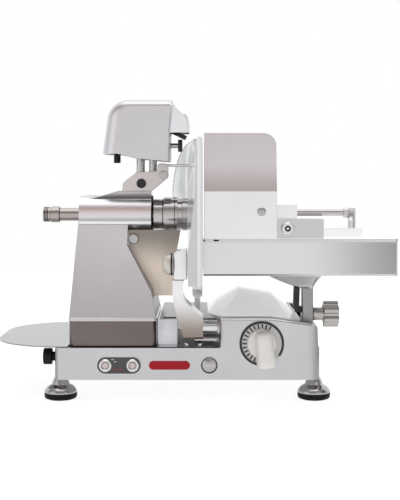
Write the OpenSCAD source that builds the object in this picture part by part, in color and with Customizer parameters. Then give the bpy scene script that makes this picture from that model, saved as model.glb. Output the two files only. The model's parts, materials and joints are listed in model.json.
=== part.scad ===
// Upright electric food slicer: a round blade stands between a drive tower
// on the left and a sliding food carriage on the right.
// Lengths are in millimetres. X runs to the right, Y away from the operator, Z up.
// Pieces are laid out from the cutting plane (X), the blade axis (Y) and the
// table top (Z), then moved so that the origin is the middle of the footprint.

/* [Blade and shaft] */
// Diameter of the blade
blade_d = 250; // [220:1:260]
// Thickness of the blade
blade_t = 3; // [2:0.5:4]
// How far the blade's hub lies left of its cutting edge
blade_dish = 21; // [16:0.5:24]
// Diameter of the flat hub in the middle of the blade
blade_hub_d = 90; // [70:1:100]
// Height of the blade axis
axis_z = 279; // [270:1:290]
// Diameter of the polished shaft nose
shaft_d = 50; // [40:1:54]
// Diameter of the collar on the shaft nose
collar_d = 56; // [55:1:58]
// Diameter of the shaft inside its bearings
journal_d = 24; // [20:1:28]
// Diameter of the tie rod inside the hollow shaft
tie_rod_d = 9; // [6:1:12]
// Diameter of the tie rod's outer sleeve
tie_sleeve_d = 21; // [16:1:24]
// Diameter of the tie rod's knob
tie_knob_d = 24; // [18:1:30]
// Diameter of the blade cover
cover_plate_d = 176; // [150:1:190]
// Thickness of the blade cover
cover_plate_t = 3; // [2:0.5:4]

/* [Base] */
// Left end of the base, measured from the cutting plane
base_left = 224; // [210:1:240]
// Right end of the base, measured from the cutting plane
base_right = 177; // [172:1:190]
// Front of the base, measured from the blade axis
base_front = 120; // [115:1:130]
// Back of the base, measured from the blade axis
base_back = 160; // [150:1:180]
// Height of the base's underside
foot_h = 33; // [28:1:38]
// Height of the low deck
deck_z = 81; // [76:1:85]
// Height of the raised deck under the blade
raised_z = 119; // [112:1:124]
// Height of the carriage hump
hump_z = 126; // [125:1:134]
// Left wall of the hump, measured from the cutting plane
hump_x = 26; // [22:1:32]
// Wall of the base casting
base_wall = 5; // [4:0.5:6]
// Thickness of the bottom plate
bottom_t = 3; // [2:0.5:4]
// Radius of the base's corners seen from above
base_corner_r = 12; // [6:1:18]

/* [Feet] */
// Diameter of a rubber foot pad
pad_d = 50; // [40:1:56]
// Height of a rubber foot pad
pad_h = 12; // [8:1:14]
// Diameter of a foot's neck
foot_neck_d = 24; // [18:1:28]
// Distance of a foot's middle from the ends of the base
foot_inset = 7; // [5:1:30]
// Distance of a foot's middle from the front and back of the base
foot_inset_y = 26; // [24:1:40]

/* [Tower] */
// Left side of the tower's plinth, measured from the cutting plane
tower_left = 203; // [195:1:210]
// Right side of the tower's plinth, measured from the cutting plane
tower_right = 70; // [68:1:76]
// Front of the plinth, measured from the blade axis
tower_front = 110; // [104:1:113]
// Back of the plinth, measured from the blade axis
tower_back = 78; // [72:1:84]
// Height of the top of the plinth
plinth_z = 121; // [118:1:128]
// Radius of the barrel around the shaft
barrel_r = 31; // [31:0.5:34]
// Right end of the barrel, measured from the cutting plane
barrel_right = 82; // [80:1:86]
// Lean of the tower's left side between foot and top
tower_draft = 6; // [0:1:10]
// How far the sharpener's saddle stands above the barrel
saddle_rise = 7; // [5:1:12]
// Wall of the tower
tower_wall = 4; // [3:0.5:5]

/* [Drive] */
// Diameter of the motor
motor_d = 92; // [70:1:100]
// Length of the motor
motor_len = 54; // [40:1:56]
// Height of the motor axis
motor_z = 180; // [174:1:190]
// Diameter of the motor shaft
motor_shaft_d = 12; // [8:1:14]
// Diameter of the motor pulley
motor_pulley_d = 18; // [16:0.5:18]
// Diameter of the pulley on the blade shaft
blade_pulley_d = 43.2; // [38.4:0.6:43.2]
// Width of the belt
belt_w = 8; // [5:1:10]
// Thickness of the belt
belt_t = 1.6; // [1:0.2:2]
// Middle of the belt, measured from the cutting plane
belt_x = 132; // [130:1:136]

/* [Thickness gauge] */
// Height of the gauge plate's lower edge
gauge_bottom = 180; // [176:1:186]
// Height of the gauge plate's upper edge
gauge_top = 391; // [380:1:396]
// Front of the gauge plate, measured from the blade axis
gauge_front = 190; // [180:1:200]
// Thickness of the gauge plate
gauge_t = 4; // [3:0.5:5]
// Width of the gauge plate's front flange
gauge_flange = 21; // [16:1:22]
// Diameter of the gauge rod
gauge_rod_d = 20; // [16:1:20]
// Height of the gauge rod
gauge_rod_z = 110; // [109:0.5:110]
// Distance of the gauge rod in front of the blade axis
gauge_rod_y = 99; // [97:0.5:100]
// Largest slice thickness
slice_max = 14; // [6:1:14]
// Turn of the dial that opens the gauge fully, in degrees
dial_turn = 300; // [240:10:310]
// Diameter of the dial's scale
dial_d = 66; // [56:1:70]
// Distance of the dial right of the cutting plane
dial_x = 89; // [86:1:92]
// Height of the dial
dial_z = 88; // [86:1:90]
// Diameter of the dial's shaft
dial_shaft_d = 12; // [8:1:14]
// Smallest radius of the thickness cam
cam_r = 18; // [15:0.5:20]
// Diameter of the gauge clamp knob
clamp_knob_d = 33; // [26:1:36]

/* [Controls] */
// Width of the control panel
panel_w = 66; // [60:1:80]
// Height of the control panel
panel_h = 25; // [22:1:30]
// Middle of the control panel, measured from the cutting plane
panel_x = 126; // [110:1:140]
// Height of the controls
panel_z = 55; // [52:1:58]
// Distance between the two buttons
button_gap = 41; // [30:1:42]
// Diameter of a button
button_d = 15; // [10:1:18]
// Travel of a button
button_travel = 2; // [1:0.5:3]
// Width of the plain plate between panel and plug
badge_w = 62; // [40:1:64]
// Height of the plain plate
badge_h = 13; // [8:1:18]
// Middle of the plain plate, measured from the cutting plane
badge_x = 50; // [48:1:56]
// Diameter of the round plug
plug_d = 25; // [18:1:28]

/* [Carriage] */
// Length of the carriage table to the right of the cutting plane
table_len = 288; // [280:1:310]
// Depth of the carriage table
table_depth = 210; // [190:1:230]
// Front of the table, measured from the blade axis
table_front = 150; // [140:1:160]
// Height of the table's top
table_z = 247; // [240:1:252]
// Height of the table's skirt
table_skirt = 55; // [40:1:58]
// Thickness of the table's sheet
table_t = 3; // [2:0.5:4]
// Radius of the table's front right corner
table_corner_r = 6; // [5:1:12]
// Height of the fence plate above the table
fence_h = 158; // [140:1:165]
// Width of the fence plate
fence_w = 108; // [90:1:112]
// Thickness of the fence plate
fence_t = 3; // [2:0.5:4]
// Height of the fence plate's bend above the table
fence_bend = 70; // [50:1:80]
// Lean of the fence plate above its bend, in degrees
fence_lean = 12; // [0:1:16]
// Distance of the column's middle from the cutting plane
column_x = 161.5; // [160:0.5:162]
// Width of the column
column_w = 17; // [14:0.5:17]
// Depth of the column
column_d = 28; // [20:1:30]
// Distance of the column in front of the blade axis at rest
column_y = 75; // [72:1:76]
// Stroke of the carriage
stroke = 200; // [150:5:205]
// Diameter of the carriage rail
rail_d = 12; // [10:1:12]
// Height of the carriage rail
rail_z = 70; // [66:1:72]
// Diameter of the lobed lock knob
lock_knob_d = 40; // [30:1:44]

/* [Pusher] */
// Diameter of the pusher's rod
push_rod_d = 10; // [8:1:12]
// Height of the pusher's rod
push_rod_z = 285; // [282:1:290]
// Distance of the pusher's rod in front of the blade axis
push_rod_y = 122; // [118:1:126]
// Travel of the pusher towards the blade
push_in = 36; // [20:1:38]
// Travel of the pusher away from the blade
push_out = 40; // [20:1:45]

/* [Sharpener] */
// Height of the sharpener cover
cover_h = 98; // [92:1:106]
// Depth of the sharpener cover
cover_depth = 88; // [80:1:100]
// Wall of the sharpener cover
cover_wall = 3; // [2:0.5:4]
// Distance of the sharpener's pivot from the cutting plane
pivot_x = 98; // [95:1:101]
// How far the sharpener's pivot lies above the saddle
pivot_rise = 12; // [10:1:15]
// Diameter of the pivot pin
pivot_d = 10; // [8:1:12]
// Thickness of a bracket cheek
cheek_t = 8; // [5:1:10]
// Diameter of a sharpening wheel
wheel_d = 26; // [20:1:26]
// Thickness of a sharpening wheel
wheel_t = 7; // [5:1:8]

/* [Receiving plate] */
// Left end of the receiving plate, measured from the cutting plane
plate_left = 325; // [300:1:330]
// Thickness of the receiving plate
plate_t = 2; // [1:0.5:3]
// Radius of the receiving plate's corners
plate_corner_r = 105; // [60:1:110]

/* [Fits] */
// Radial clearance of a running fit
run_fit = 0.06; // [0.02:0.01:0.1]
// Gap between pieces that pass each other
pass_gap = 0.5; // [0.3:0.1:1]

/* [Hidden] */
$fn = 96;
// Overlap that lets a cut break cleanly through a face
cut = 1;
// Gap between pieces that are pressed together
seat = 0.02;

// Signed places of the base
base_x0 = -base_left;
base_x1 = base_right;
base_y0 = -base_front;
base_y1 = base_back;
base_depth = base_y1 - base_y0;

// Footprint that the origin is the middle of
table_x0 = 1;
table_x1 = table_x0 + table_len;
gland_len = 14;
shift_x = (plate_left - table_x1) / 2;
shift_y = (gauge_front - base_y1 - gland_len) / 2;

blade_r = blade_d / 2;
saddle_z = axis_z + barrel_r + saddle_rise;
pivot_z = saddle_z + pivot_rise;
steel = "#c9cbce";
dark_steel = "#6f7276";
cast_metal = "#cfd0d4";
black = "#1c1c1e";

// Moves the layout to the middle of the footprint
module placed() {
    translate([shift_x, shift_y, 0])
        children();
}

// Stands a round piece on the X axis, growing to the right
module along_x(x, y, z) {
    translate([x, y, z])
        rotate([0, 90, 0])
            children();
}

// Stands a round piece on the Y axis, growing away from the operator
module along_y(x, y, z) {
    translate([x, y, z])
        rotate([-90, 0, 0])
            children();
}

// Extrudes an outline drawn as seen from the front
module front_outline(y, depth) {
    translate([0, y + depth, 0])
        rotate([90, 0, 0])
            linear_extrude(depth)
                children();
}

// Extrudes an outline drawn as seen from the right, with Y to the right
module side_outline(x, width) {
    translate([x, 0, 0])
        rotate([90, 0, 90])
            linear_extrude(width)
                children();
}

// Block between two corners
module block(a, b) {
    translate(a)
        cube(b - a);
}

// Rectangle with round corners between two corners
module round_rect(a, b, r) {
    translate([a.x + r, a.y])
        square([b.x - a.x - 2 * r, b.y - a.y]);
    translate([a.x, a.y + r])
        square([b.x - a.x, b.y - a.y - 2 * r]);
    for (x = [a.x + r, b.x - r], y = [a.y + r, b.y - r])
        translate([x, y])
            circle(r);
}

// Ring with a true bore, standing on z = 0
module ring(outer_d, inner_d, h) {
    difference() {
        cylinder(d = outer_d, h = h);
        translate([0, 0, -cut])
            cylinder(d = inner_d, h = h + 2 * cut);
    }
}

// Base casting: low deck, raised deck under the blade and carriage hump
raised_x = -67;
raised_y = -60;
step_x = -39;
step_y = -80;
slope_x = dial_x + 15;
shoulder_x = base_x1 - 15;
shoulder_drop = 8;
corner_x = base_x1 - 3.5;
corner_drop = 22;
slot_gap = 1;
slot_x0 = column_x - column_w / 2 - slot_gap;
slot_x1 = column_x + column_w / 2 + slot_gap;
slot_y0 = -column_y - column_d / 2 - slot_gap;
slot_y1 = -column_y + column_d / 2 + stroke + slot_gap;
slot_floor = deck_z - base_wall - 1;
bush_wall = 2;
screw_d = 8;
plate_knob_y = -90;
plate_knob_z = deck_z - 17;
plug_x = 10;
button_x = [-panel_x - button_gap / 2, -panel_x + button_gap / 2];
gland_x = -150;

function hump_points(i, z0) = [
    [hump_x + i, z0],
    [hump_x + i, hump_z - i],
    [slope_x, hump_z - i],
    [shoulder_x, hump_z - shoulder_drop - i],
    [corner_x - i, hump_z - corner_drop - i],
    [base_x1 - i, z0]
];

module base_form(i, z0) {
    r = max(base_corner_r - i, 1);
    lo = [base_x0 + i, base_y0 + i];
    hi = [base_x1 - i, base_y1 - i];
    translate([0, 0, z0])
        linear_extrude(deck_z - i - z0)
            round_rect(lo, hi, r);
    block([raised_x + i, raised_y + i, z0], [hump_x + base_wall, base_y1 - i, raised_z - i]);
    block([raised_x + i, step_y + i, z0], [step_x - i, raised_y + base_wall, raised_z - i]);
    intersection() {
        front_outline(base_y0 + i, base_depth - 2 * i)
            polygon(hump_points(i, z0));
        linear_extrude(hump_z)
            round_rect(lo, hi, r);
    }
}

module base_casting() {
    color(cast_metal) placed() difference() {
        base_form(0, foot_h);
        base_form(base_wall, foot_h - cut);
        block([slot_x0, slot_y0, slot_floor], [slot_x1, slot_y1, hump_z + cut]);
        along_x(hump_x - cut, -gauge_rod_y, gauge_rod_z)
            cylinder(d = gauge_rod_d + 2 * bush_wall, h = base_wall + 2 * cut);
        along_y(dial_x, base_y0 - cut, dial_z)
            cylinder(d = dial_shaft_d + 2 * run_fit, h = base_wall + 2 * cut);
        along_y(plug_x, base_y0 - cut, panel_z)
            cylinder(d = plug_d + 2 * seat, h = base_wall + 2 * cut);
        for (x = button_x)
            along_y(x, base_y0 - cut, panel_z)
                cylinder(d = button_d + 2 * pass_gap, h = base_wall + 2 * cut);
        along_x(base_x0 - cut, plate_knob_y, plate_knob_z)
            cylinder(d = screw_d + 2 * run_fit, h = base_wall + 2 * cut);
    }
}

// Plate that closes the base from below
module bottom_plate() {
    i = base_wall + seat;
    color(dark_steel) placed() translate([0, 0, foot_h])
        linear_extrude(bottom_t)
            round_rect([base_x0 + i, base_y0 + i], [base_x1 - i, base_y1 - i], base_corner_r - base_wall + 1);
}

// Feet: turned metal bells on rubber pads
foot_x = [base_x0 + foot_inset, base_x1 - foot_inset];
foot_y = [base_y0 + foot_inset_y, base_y1 - foot_inset_y];
bell_rim = 4;
bell_neck_h = 8;

module foot_bells() {
    color(steel) placed() for (x = foot_x, y = foot_y)
        translate([x, y, pad_h])
            rotate_extrude()
                polygon([
                    [0, 0],
                    [pad_d / 2 - 1, 0],
                    [pad_d / 2 - 1, bell_rim],
                    [pad_d / 2 - 5, bell_rim + 3],
                    [foot_neck_d / 2, foot_h - pad_h - bell_neck_h],
                    [foot_neck_d / 2 - 2, foot_h - pad_h],
                    [0, foot_h - pad_h]
                ]);
}

module foot_pads() {
    color(black) placed() for (x = foot_x, y = foot_y)
        translate([x, y, 0])
            rotate_extrude()
                polygon([
                    [0, 0],
                    [pad_d / 2 - 2, 0],
                    [pad_d / 2, 3],
                    [pad_d / 2, pad_h - 2],
                    [pad_d / 2 - 1, pad_h],
                    [0, pad_h]
                ]);
}

// Tower: plinth, then a leaning housing that carries the round shaft barrel
plinth_corner_r = 10;
tower_top_x = -tower_left + tower_draft;
notch_x = -119;
notch_z = axis_z - barrel_r - 16;
knee_x = -79;
knee_z = plinth_z + 41;
saddle_y = 18;
wall_meet = 30;
wall_run_in = 1.08;
saddle_left_z = saddle_z - 16;

module tower_plinth() {
    lo = [-tower_left, -tower_front];
    hi = [-tower_right, tower_back];
    w = [tower_wall, tower_wall];
    color("#8b8784") placed() translate([0, 0, deck_z]) difference() {
        linear_extrude(plinth_z - deck_z)
            round_rect(lo, hi, plinth_corner_r);
        translate([0, 0, -cut])
            linear_extrude(plinth_z - deck_z + 2 * cut)
                round_rect(lo + w, hi - w, plinth_corner_r - tower_wall);
    }
}

// Side outline: both leaning walls meet the barrel a little below its axis and run on into it
module tower_side(i, z0) {
    wall = i * 1.12;
    r = barrel_r - i;
    front = [-tower_front + wall, z0];
    back = [tower_back - wall, z0];
    meet_y = r * cos(wall_meet);
    meet_z = axis_z - r * sin(wall_meet);
    polygon([
        front,
        front + wall_run_in * ([-meet_y, meet_z] - front),
        back + wall_run_in * ([meet_y, meet_z] - back),
        back
    ]);
}

module tower_front_outline(i, z0) {
    polygon([
        [-tower_left + i, z0],
        [tower_top_x + i, axis_z + barrel_r],
        [notch_x - i, axis_z + barrel_r],
        [notch_x - i, notch_z + i],
        [knee_x - i, knee_z],
        [-tower_right - i, z0]
    ]);
}

module tower_form(i, z0, barrel_end) {
    intersection() {
        front_outline(-tower_front, tower_front + tower_back)
            tower_front_outline(i, z0);
        side_outline(-tower_left, tower_left)
            tower_side(i, z0);
    }
    along_x(tower_top_x + i, 0, axis_z)
        cylinder(r = barrel_r - i, h = -tower_top_x - i - barrel_end);
}

module tower_housing() {
    color(steel) placed() difference() {
        union() {
            tower_form(0, plinth_z, barrel_right);
            front_outline(-saddle_y, 2 * saddle_y)
                polygon([
                    [tower_top_x, axis_z],
                    [tower_top_x, saddle_left_z],
                    [tower_top_x + 30, saddle_left_z + 7],
                    [tower_top_x + 62, saddle_z],
                    [-barrel_right, saddle_z],
                    [-barrel_right, axis_z]
                ]);
        }
        tower_form(tower_wall, plinth_z - cut, barrel_right - cut);
        along_x(-tower_left - cut, 0, axis_z)
            cylinder(d = tie_sleeve_d + 2 * run_fit, h = tower_left);
    }
}

// Motor on its foot, with a bore for its own shaft
motor_right = -140;
motor_foot_w = 60;
motor_bore_len = 12;

module motor_body() {
    x0 = motor_right - motor_len;
    color("#5d6166") placed() difference() {
        union() {
            along_x(x0, 0, motor_z)
                cylinder(d = motor_d, h = motor_len);
            block([x0 + 8, -motor_foot_w / 2, deck_z], [motor_right - 8, motor_foot_w / 2, motor_z]);
        }
        along_x(motor_right - motor_bore_len, 0, motor_z)
            cylinder(d = motor_shaft_d + 2 * run_fit, h = motor_bore_len + cut);
    }
}

motor_shaft_end = -belt_x + belt_w / 2 + 4;

module motor_shaft() {
    color(steel) placed() along_x(motor_right - motor_bore_len + pass_gap, 0, motor_z)
        cylinder(d = motor_shaft_d, h = motor_shaft_end - motor_right + motor_bore_len - pass_gap);
}

// Flanged pulley with a bore, for either end of the belt
flange_w = 1;
flange_rise = 1;
belt_gap = 0.3;

module pulley(d, bore_d) {
    w = belt_w + 2 * belt_gap;
    translate([0, 0, -w / 2 - flange_w])
        difference() {
            union() {
                cylinder(d = d, h = w + 2 * flange_w);
                for (z = [0, w + flange_w])
                    translate([0, 0, z])
                        cylinder(d = d + 2 * flange_rise, h = flange_w);
            }
            translate([0, 0, -cut])
                cylinder(d = bore_d, h = w + 2 * flange_w + 2 * cut);
        }
}

module motor_pulley() {
    color(dark_steel) placed() along_x(-belt_x, 0, motor_z)
        pulley(motor_pulley_d, motor_shaft_d + 2 * seat);
}

module driven_pulley() {
    color(dark_steel) placed() along_x(-belt_x, 0, axis_z)
        pulley(blade_pulley_d, journal_d + 2 * seat);
}

// Outline of a belt at a given distance from both pulley faces
module belt_outline(gap) {
    hull() {
        translate([0, axis_z])
            circle(d = blade_pulley_d + 2 * gap);
        translate([0, motor_z])
            circle(d = motor_pulley_d + 2 * gap);
    }
}

module drive_belt() {
    color(black) placed() side_outline(-belt_x - belt_w / 2, belt_w)
        difference() {
            belt_outline(belt_gap + belt_t);
            belt_outline(belt_gap);
        }
}

// Bearings in the barrel and the seal at its mouth
bearing_w = 12;
bearing_x = [-barrel_right - 34, -barrel_right - bearing_w - 3];
seal_w = 2;
nose_x = -barrel_right + seal_w + 1.5;
nose_end = -33;
flange_end = -blade_dish - blade_t - seat;
hub_flange_d = 52;
collar_x0 = -62;
collar_x1 = -40;

module shaft_bearings() {
    color("#b4b7ba") placed() for (x = bearing_x)
        along_x(x, 0, axis_z)
            ring(2 * (barrel_r - tower_wall - seat), journal_d + 2 * run_fit, bearing_w);
}

module shaft_seal() {
    color(black) placed() along_x(-barrel_right, 0, axis_z)
        ring(2 * barrel_r - 1, journal_d + 2 * pass_gap, seal_w);
}

// Hollow blade shaft with its polished nose and hub flange
shaft_x0 = -belt_x - belt_w / 2 - 6;

module blade_shaft() {
    color("#8e9196") placed() difference() {
        union() {
            along_x(shaft_x0, 0, axis_z)
                cylinder(d = journal_d, h = nose_x - shaft_x0);
            along_x(nose_x, 0, axis_z)
                cylinder(d = shaft_d, h = nose_end - nose_x);
            along_x(collar_x0, 0, axis_z)
                cylinder(d = collar_d, h = collar_x1 - collar_x0);
            along_x(nose_end, 0, axis_z)
                cylinder(d = hub_flange_d, h = flange_end - nose_end);
        }
        along_x(shaft_x0 - cut, 0, axis_z)
            cylinder(d = tie_rod_d + 2 * pass_gap, h = flange_end - shaft_x0 + 2 * cut);
    }
}

// Dished blade: flat hub, cone and ground edge on the cutting plane
edge_w = 8;

module blade() {
    hub_r = blade_hub_d / 2;
    hole_r = tie_rod_d / 2 + pass_gap;
    color("#d7d9dc") placed() along_x(0, 0, axis_z)
        rotate_extrude($fn = 160)
            polygon([
                [hole_r, -blade_dish - blade_t],
                [hub_r, -blade_dish - blade_t],
                [blade_r - edge_w, -blade_t - 2],
                [blade_r, -0.3],
                [blade_r, 0],
                [blade_r - edge_w, -2],
                [hub_r, -blade_dish],
                [hole_r, -blade_dish]
            ]);
}

// Countersunk screws that hold the blade on its hub
blade_screw_d = 9;
blade_screw_h = 2;
blade_screw_pcd = 36;

module blade_screws() {
    color(dark_steel) placed() for (a = [45 : 90 : 315])
        along_x(-blade_dish, blade_screw_pcd / 2 * sin(a), axis_z + blade_screw_pcd / 2 * cos(a))
            cylinder(d = blade_screw_d, h = blade_screw_h);
}

// Tie rod: knurled knob outside the tower, rod through the hollow shaft
cover_plate_x = -8;
sleeve_out = 34;
tie_collar_w = 13;
tie_knob_w = 13;
sleeve_in = 6;

module tie_rod() {
    sleeve_x = tower_top_x - sleeve_out;
    color("#d9dadd") placed() {
        along_x(sleeve_x, 0, axis_z)
            cylinder(d = tie_sleeve_d, h = sleeve_out + sleeve_in);
        along_x(sleeve_x - tie_collar_w, 0, axis_z)
            cylinder(d = tie_knob_d + 2, h = tie_collar_w);
        along_x(sleeve_x - tie_collar_w - tie_knob_w, 0, axis_z)
            cylinder(d = tie_knob_d, h = tie_knob_w);
        along_x(sleeve_x, 0, axis_z)
            cylinder(d = tie_rod_d, h = cover_plate_x - sleeve_x);
    }
}

module blade_cover() {
    color("#d2d4d7") placed() along_x(cover_plate_x, 0, axis_z)
        cylinder(d1 = cover_plate_d, d2 = cover_plate_d - 2 * cover_plate_t, h = cover_plate_t);
}

// Ring guard around the back of the blade, on a leg that stands on the deck
guard_gap = 2;
guard_t = 6;
guard_w = 16;
guard_lip = 3;
guard_from = -30;
guard_sweep = 190;
guard_leg_y0 = 6;
guard_leg_y1 = 46;
bowl_hole_r = 36;
bowl_deep = 37;
bowl_t = 2;
bowl_in = 4;
bowl_from = 95;
bowl_sweep = 64;
bowl_step = 7.5;

// Point on the bowl's quarter ellipse: radius, then distance from its open end
function bowl_point(a, reach, deep) = [bowl_hole_r + reach * sin(a), -deep * cos(a)];

// Part of a dished shell behind the blade's upper half, joined to the ring
module guard_bowl(reach) {
    rotate([0, 0, bowl_from])
        rotate_extrude(angle = bowl_sweep, $fn = 160)
            polygon(concat(
                [for (a = [0 : bowl_step : 90]) bowl_point(a, reach, bowl_deep)],
                [for (a = [90 : -bowl_step : 0]) bowl_point(a, reach - bowl_t, bowl_deep - bowl_t)]
            ));
}

module ring_guard() {
    inner = blade_r + guard_gap;
    color("#c4c6c9") placed() {
        along_x(-guard_w, 0, axis_z)
            rotate([0, 0, guard_from])
                rotate_extrude(angle = guard_sweep, $fn = 160)
                    translate([inner, 0])
                        square([guard_t, guard_w]);
        along_x(-guard_w + bowl_in, 0, axis_z)
            guard_bowl(inner + bowl_in - bowl_hole_r);
        difference() {
            block([-guard_w + guard_lip, guard_leg_y0, raised_z],
                  [-guard_lip, guard_leg_y1, axis_z - blade_r + guard_t]);
            along_x(-guard_w - cut, 0, axis_z)
                cylinder(r = inner + guard_t / 2, h = guard_w + 2 * cut, $fn = 160);
        }
    }
}

// Slice deflector in the tower's notch, held by one bolt
deflector_y = -24;
deflector_t = 2;
deflector_tip_z = plinth_z + 29;
deflector_bolt_x = notch_x + 9;
deflector_bolt_z = notch_z + 9;
deflector_bolt_d = 8;

module slice_deflector() {
    top_z = axis_z - collar_d / 2 - 4;
    color("#c9bfb0") placed() difference() {
        front_outline(deflector_y, deflector_t)
            polygon([
                [notch_x + pass_gap, top_z],
                [notch_x + pass_gap, notch_z],
                [knee_x + pass_gap, knee_z],
                [knee_x + 2, deflector_tip_z],
                [nose_end - 14, deflector_tip_z],
                [nose_end - 12, deflector_tip_z + 50],
                [nose_end - 2, top_z]
            ]);
        along_y(deflector_bolt_x, deflector_y - cut, deflector_bolt_z)
            cylinder(d = deflector_bolt_d + 2 * seat, h = deflector_t + 2 * cut);
    }
}

module deflector_bolt() {
    head_h = 8;
    color(dark_steel) placed() along_y(deflector_bolt_x, deflector_y - head_h, deflector_bolt_z) {
        cylinder(d = 2 * deflector_bolt_d, h = head_h - seat);
        cylinder(d = deflector_bolt_d, h = head_h + deflector_t + 3);
        translate([0, 0, head_h + deflector_t + seat])
            cylinder(d = 1.6 * deflector_bolt_d, h = 5, $fn = 6);
    }
}

// Front of the base: control panel, plain plate, dial scale and plug
panel_t = 2;
badge_t = 1.5;
scale_t = 1.5;

module control_panel() {
    color("#4a4a4e") placed() difference() {
        front_outline(base_y0 - panel_t, panel_t)
            round_rect([-panel_x - panel_w / 2, panel_z - panel_h / 2],
                       [-panel_x + panel_w / 2, panel_z + panel_h / 2], panel_h / 2 - seat);
        for (x = button_x)
            along_y(x, base_y0 - panel_t - cut, panel_z)
                cylinder(d = button_d + 2 * pass_gap, h = panel_t + 2 * cut);
    }
}

module push_button(x) {
    proud = 2;
    color("#e3e3e0") placed() along_y(x, base_y0 - panel_t - proud, panel_z)
        cylinder(d = button_d, h = panel_t + proud + base_wall - button_travel);
}

module start_button() {
    push_button(button_x[0]);
}

module stop_button() {
    push_button(button_x[1]);
}

module badge_plate() {
    color("#9b1c22") placed() front_outline(base_y0 - badge_t, badge_t)
        round_rect([-badge_x - badge_w / 2, panel_z - badge_h / 2],
                   [-badge_x + badge_w / 2, panel_z + badge_h / 2], badge_h / 2 - seat);
}

module dial_scale() {
    color("#d8d8d4") placed() along_y(dial_x, base_y0 - scale_t, dial_z)
        ring(dial_d, dial_shaft_d + 2 * pass_gap, scale_t);
}

module side_plug() {
    color(steel) placed() along_y(plug_x, base_y0 - 2, panel_z)
        cylinder(d = plug_d, h = base_wall + 2);
}

module cord_gland() {
    color(black) placed() along_y(gland_x, base_y1, panel_z)
        cylinder(d1 = 22, d2 = 16, h = gland_len);
}

// Carriage rails inside the base: a round rail and a flat guide bar
rail_x = column_x - 3.5;
guide_x = 108;
guide_w = 8;
guide_z0 = 38;
guide_z1 = 46;

module carriage_rails() {
    y0 = base_y0 + base_wall;
    len = base_depth - 2 * base_wall;
    color(steel) placed() {
        along_y(rail_x, y0, rail_z)
            cylinder(d = rail_d, h = len);
        block([guide_x - guide_w / 2, y0, guide_z0], [guide_x + guide_w / 2, y0 + len, guide_z1]);
    }
}

// Flanged bush of the gauge rod in the hump's left wall
bush_flange_d = gauge_rod_d + 10;
bush_flange_w = 4;

module gauge_rod_bush() {
    color("#b9a36a") placed() difference() {
        union() {
            along_x(hump_x - bush_flange_w, -gauge_rod_y, gauge_rod_z)
                cylinder(d = bush_flange_d, h = bush_flange_w);
            along_x(hump_x - seat, -gauge_rod_y, gauge_rod_z)
                cylinder(d = gauge_rod_d + 2 * bush_wall - 2 * seat, h = base_wall);
        }
        along_x(hump_x - bush_flange_w - cut, -gauge_rod_y, gauge_rod_z)
            cylinder(d = gauge_rod_d + 2 * run_fit, h = bush_flange_w + base_wall + 2 * cut);
    }
}

// Hood over the hump: a folded cover whose front slopes down to the operator
hood_y = 0;
hood_front = -98;
hood_left = 9;
hood_end = 146;
hood_eave = hood_end - 13;
hood_edge = 0.5;

function hump_top(x) = x < slope_x ? hump_z
    : hump_z - shoulder_drop * (x - slope_x) / (shoulder_x - slope_x);

// Cross-section of the hood at its fold
function hood_points() = [
    [hood_left, raised_z],
    [hood_left, raised_z + hood_edge],
    [hump_x - 3, hump_z + 11],
    [hump_x + 33, hump_z + 31],
    [hump_x + 87, hump_z + 22],
    [hood_end - 4, hump_z - 1],
    [hood_end, hump_top(hood_end) + hood_edge],
    [hood_end, raised_z]
];

// Thin front edge of the hood along the hump
function eave_points() = [
    [hump_x + 3, hump_z - 1],
    [hump_x + 3, hump_z + hood_edge],
    [slope_x, hump_z + hood_edge],
    [hood_eave, hump_top(hood_eave) + hood_edge],
    [hood_eave, hump_top(hood_eave) - 1]
];

module rear_hood() {
    color("#d4d5d3") placed() difference() {
        union() {
            front_outline(hood_y, base_y1 - 2 - hood_y)
                polygon(hood_points());
            hull() {
                front_outline(hood_y, 1)
                    polygon(hood_points());
                front_outline(hood_front, 1)
                    polygon(eave_points());
            }
        }
        front_outline(base_y0, base_depth)
            polygon(hump_points(0, foot_h));
    }
}

// Gauge plate in front of the blade, with its flange, arm and rod
gauge_face = -0.5;
gauge_gap = 2.5;
flange_wide_h = 52;
flange_taper_h = 121;
flange_mid = 12;
flange_top = 9;
arm_y0 = -137;
arm_y1 = -85;
block_x0 = -43;
block_x1 = -23;
block_z0 = gauge_bottom + 4;
block_z1 = gauge_bottom + 51;
foot_x1 = 0.5;
clamp_z = (block_z0 + block_z1) / 2;
clamp_y = -124;

module gauge_plate() {
    lo = [-gauge_front, gauge_bottom];
    color("#dadbde") placed() {
        side_outline(gauge_face - gauge_t, gauge_t)
            difference() {
                translate(lo)
                    square([gauge_front, gauge_top - gauge_bottom]);
                translate([0, axis_z])
                    circle(blade_r + gauge_gap, $fn = 160);
            }
        front_outline(-gauge_front, gauge_t)
            polygon([
                [gauge_face - gauge_flange, gauge_bottom],
                [gauge_face - gauge_flange, gauge_bottom + flange_wide_h],
                [gauge_face - flange_mid, gauge_bottom + flange_taper_h],
                [gauge_face - flange_top, gauge_top - 8],
                [gauge_face - flange_top + 4, gauge_top],
                [gauge_face, gauge_top],
                [gauge_face, gauge_bottom]
            ]);
    }
}

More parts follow.
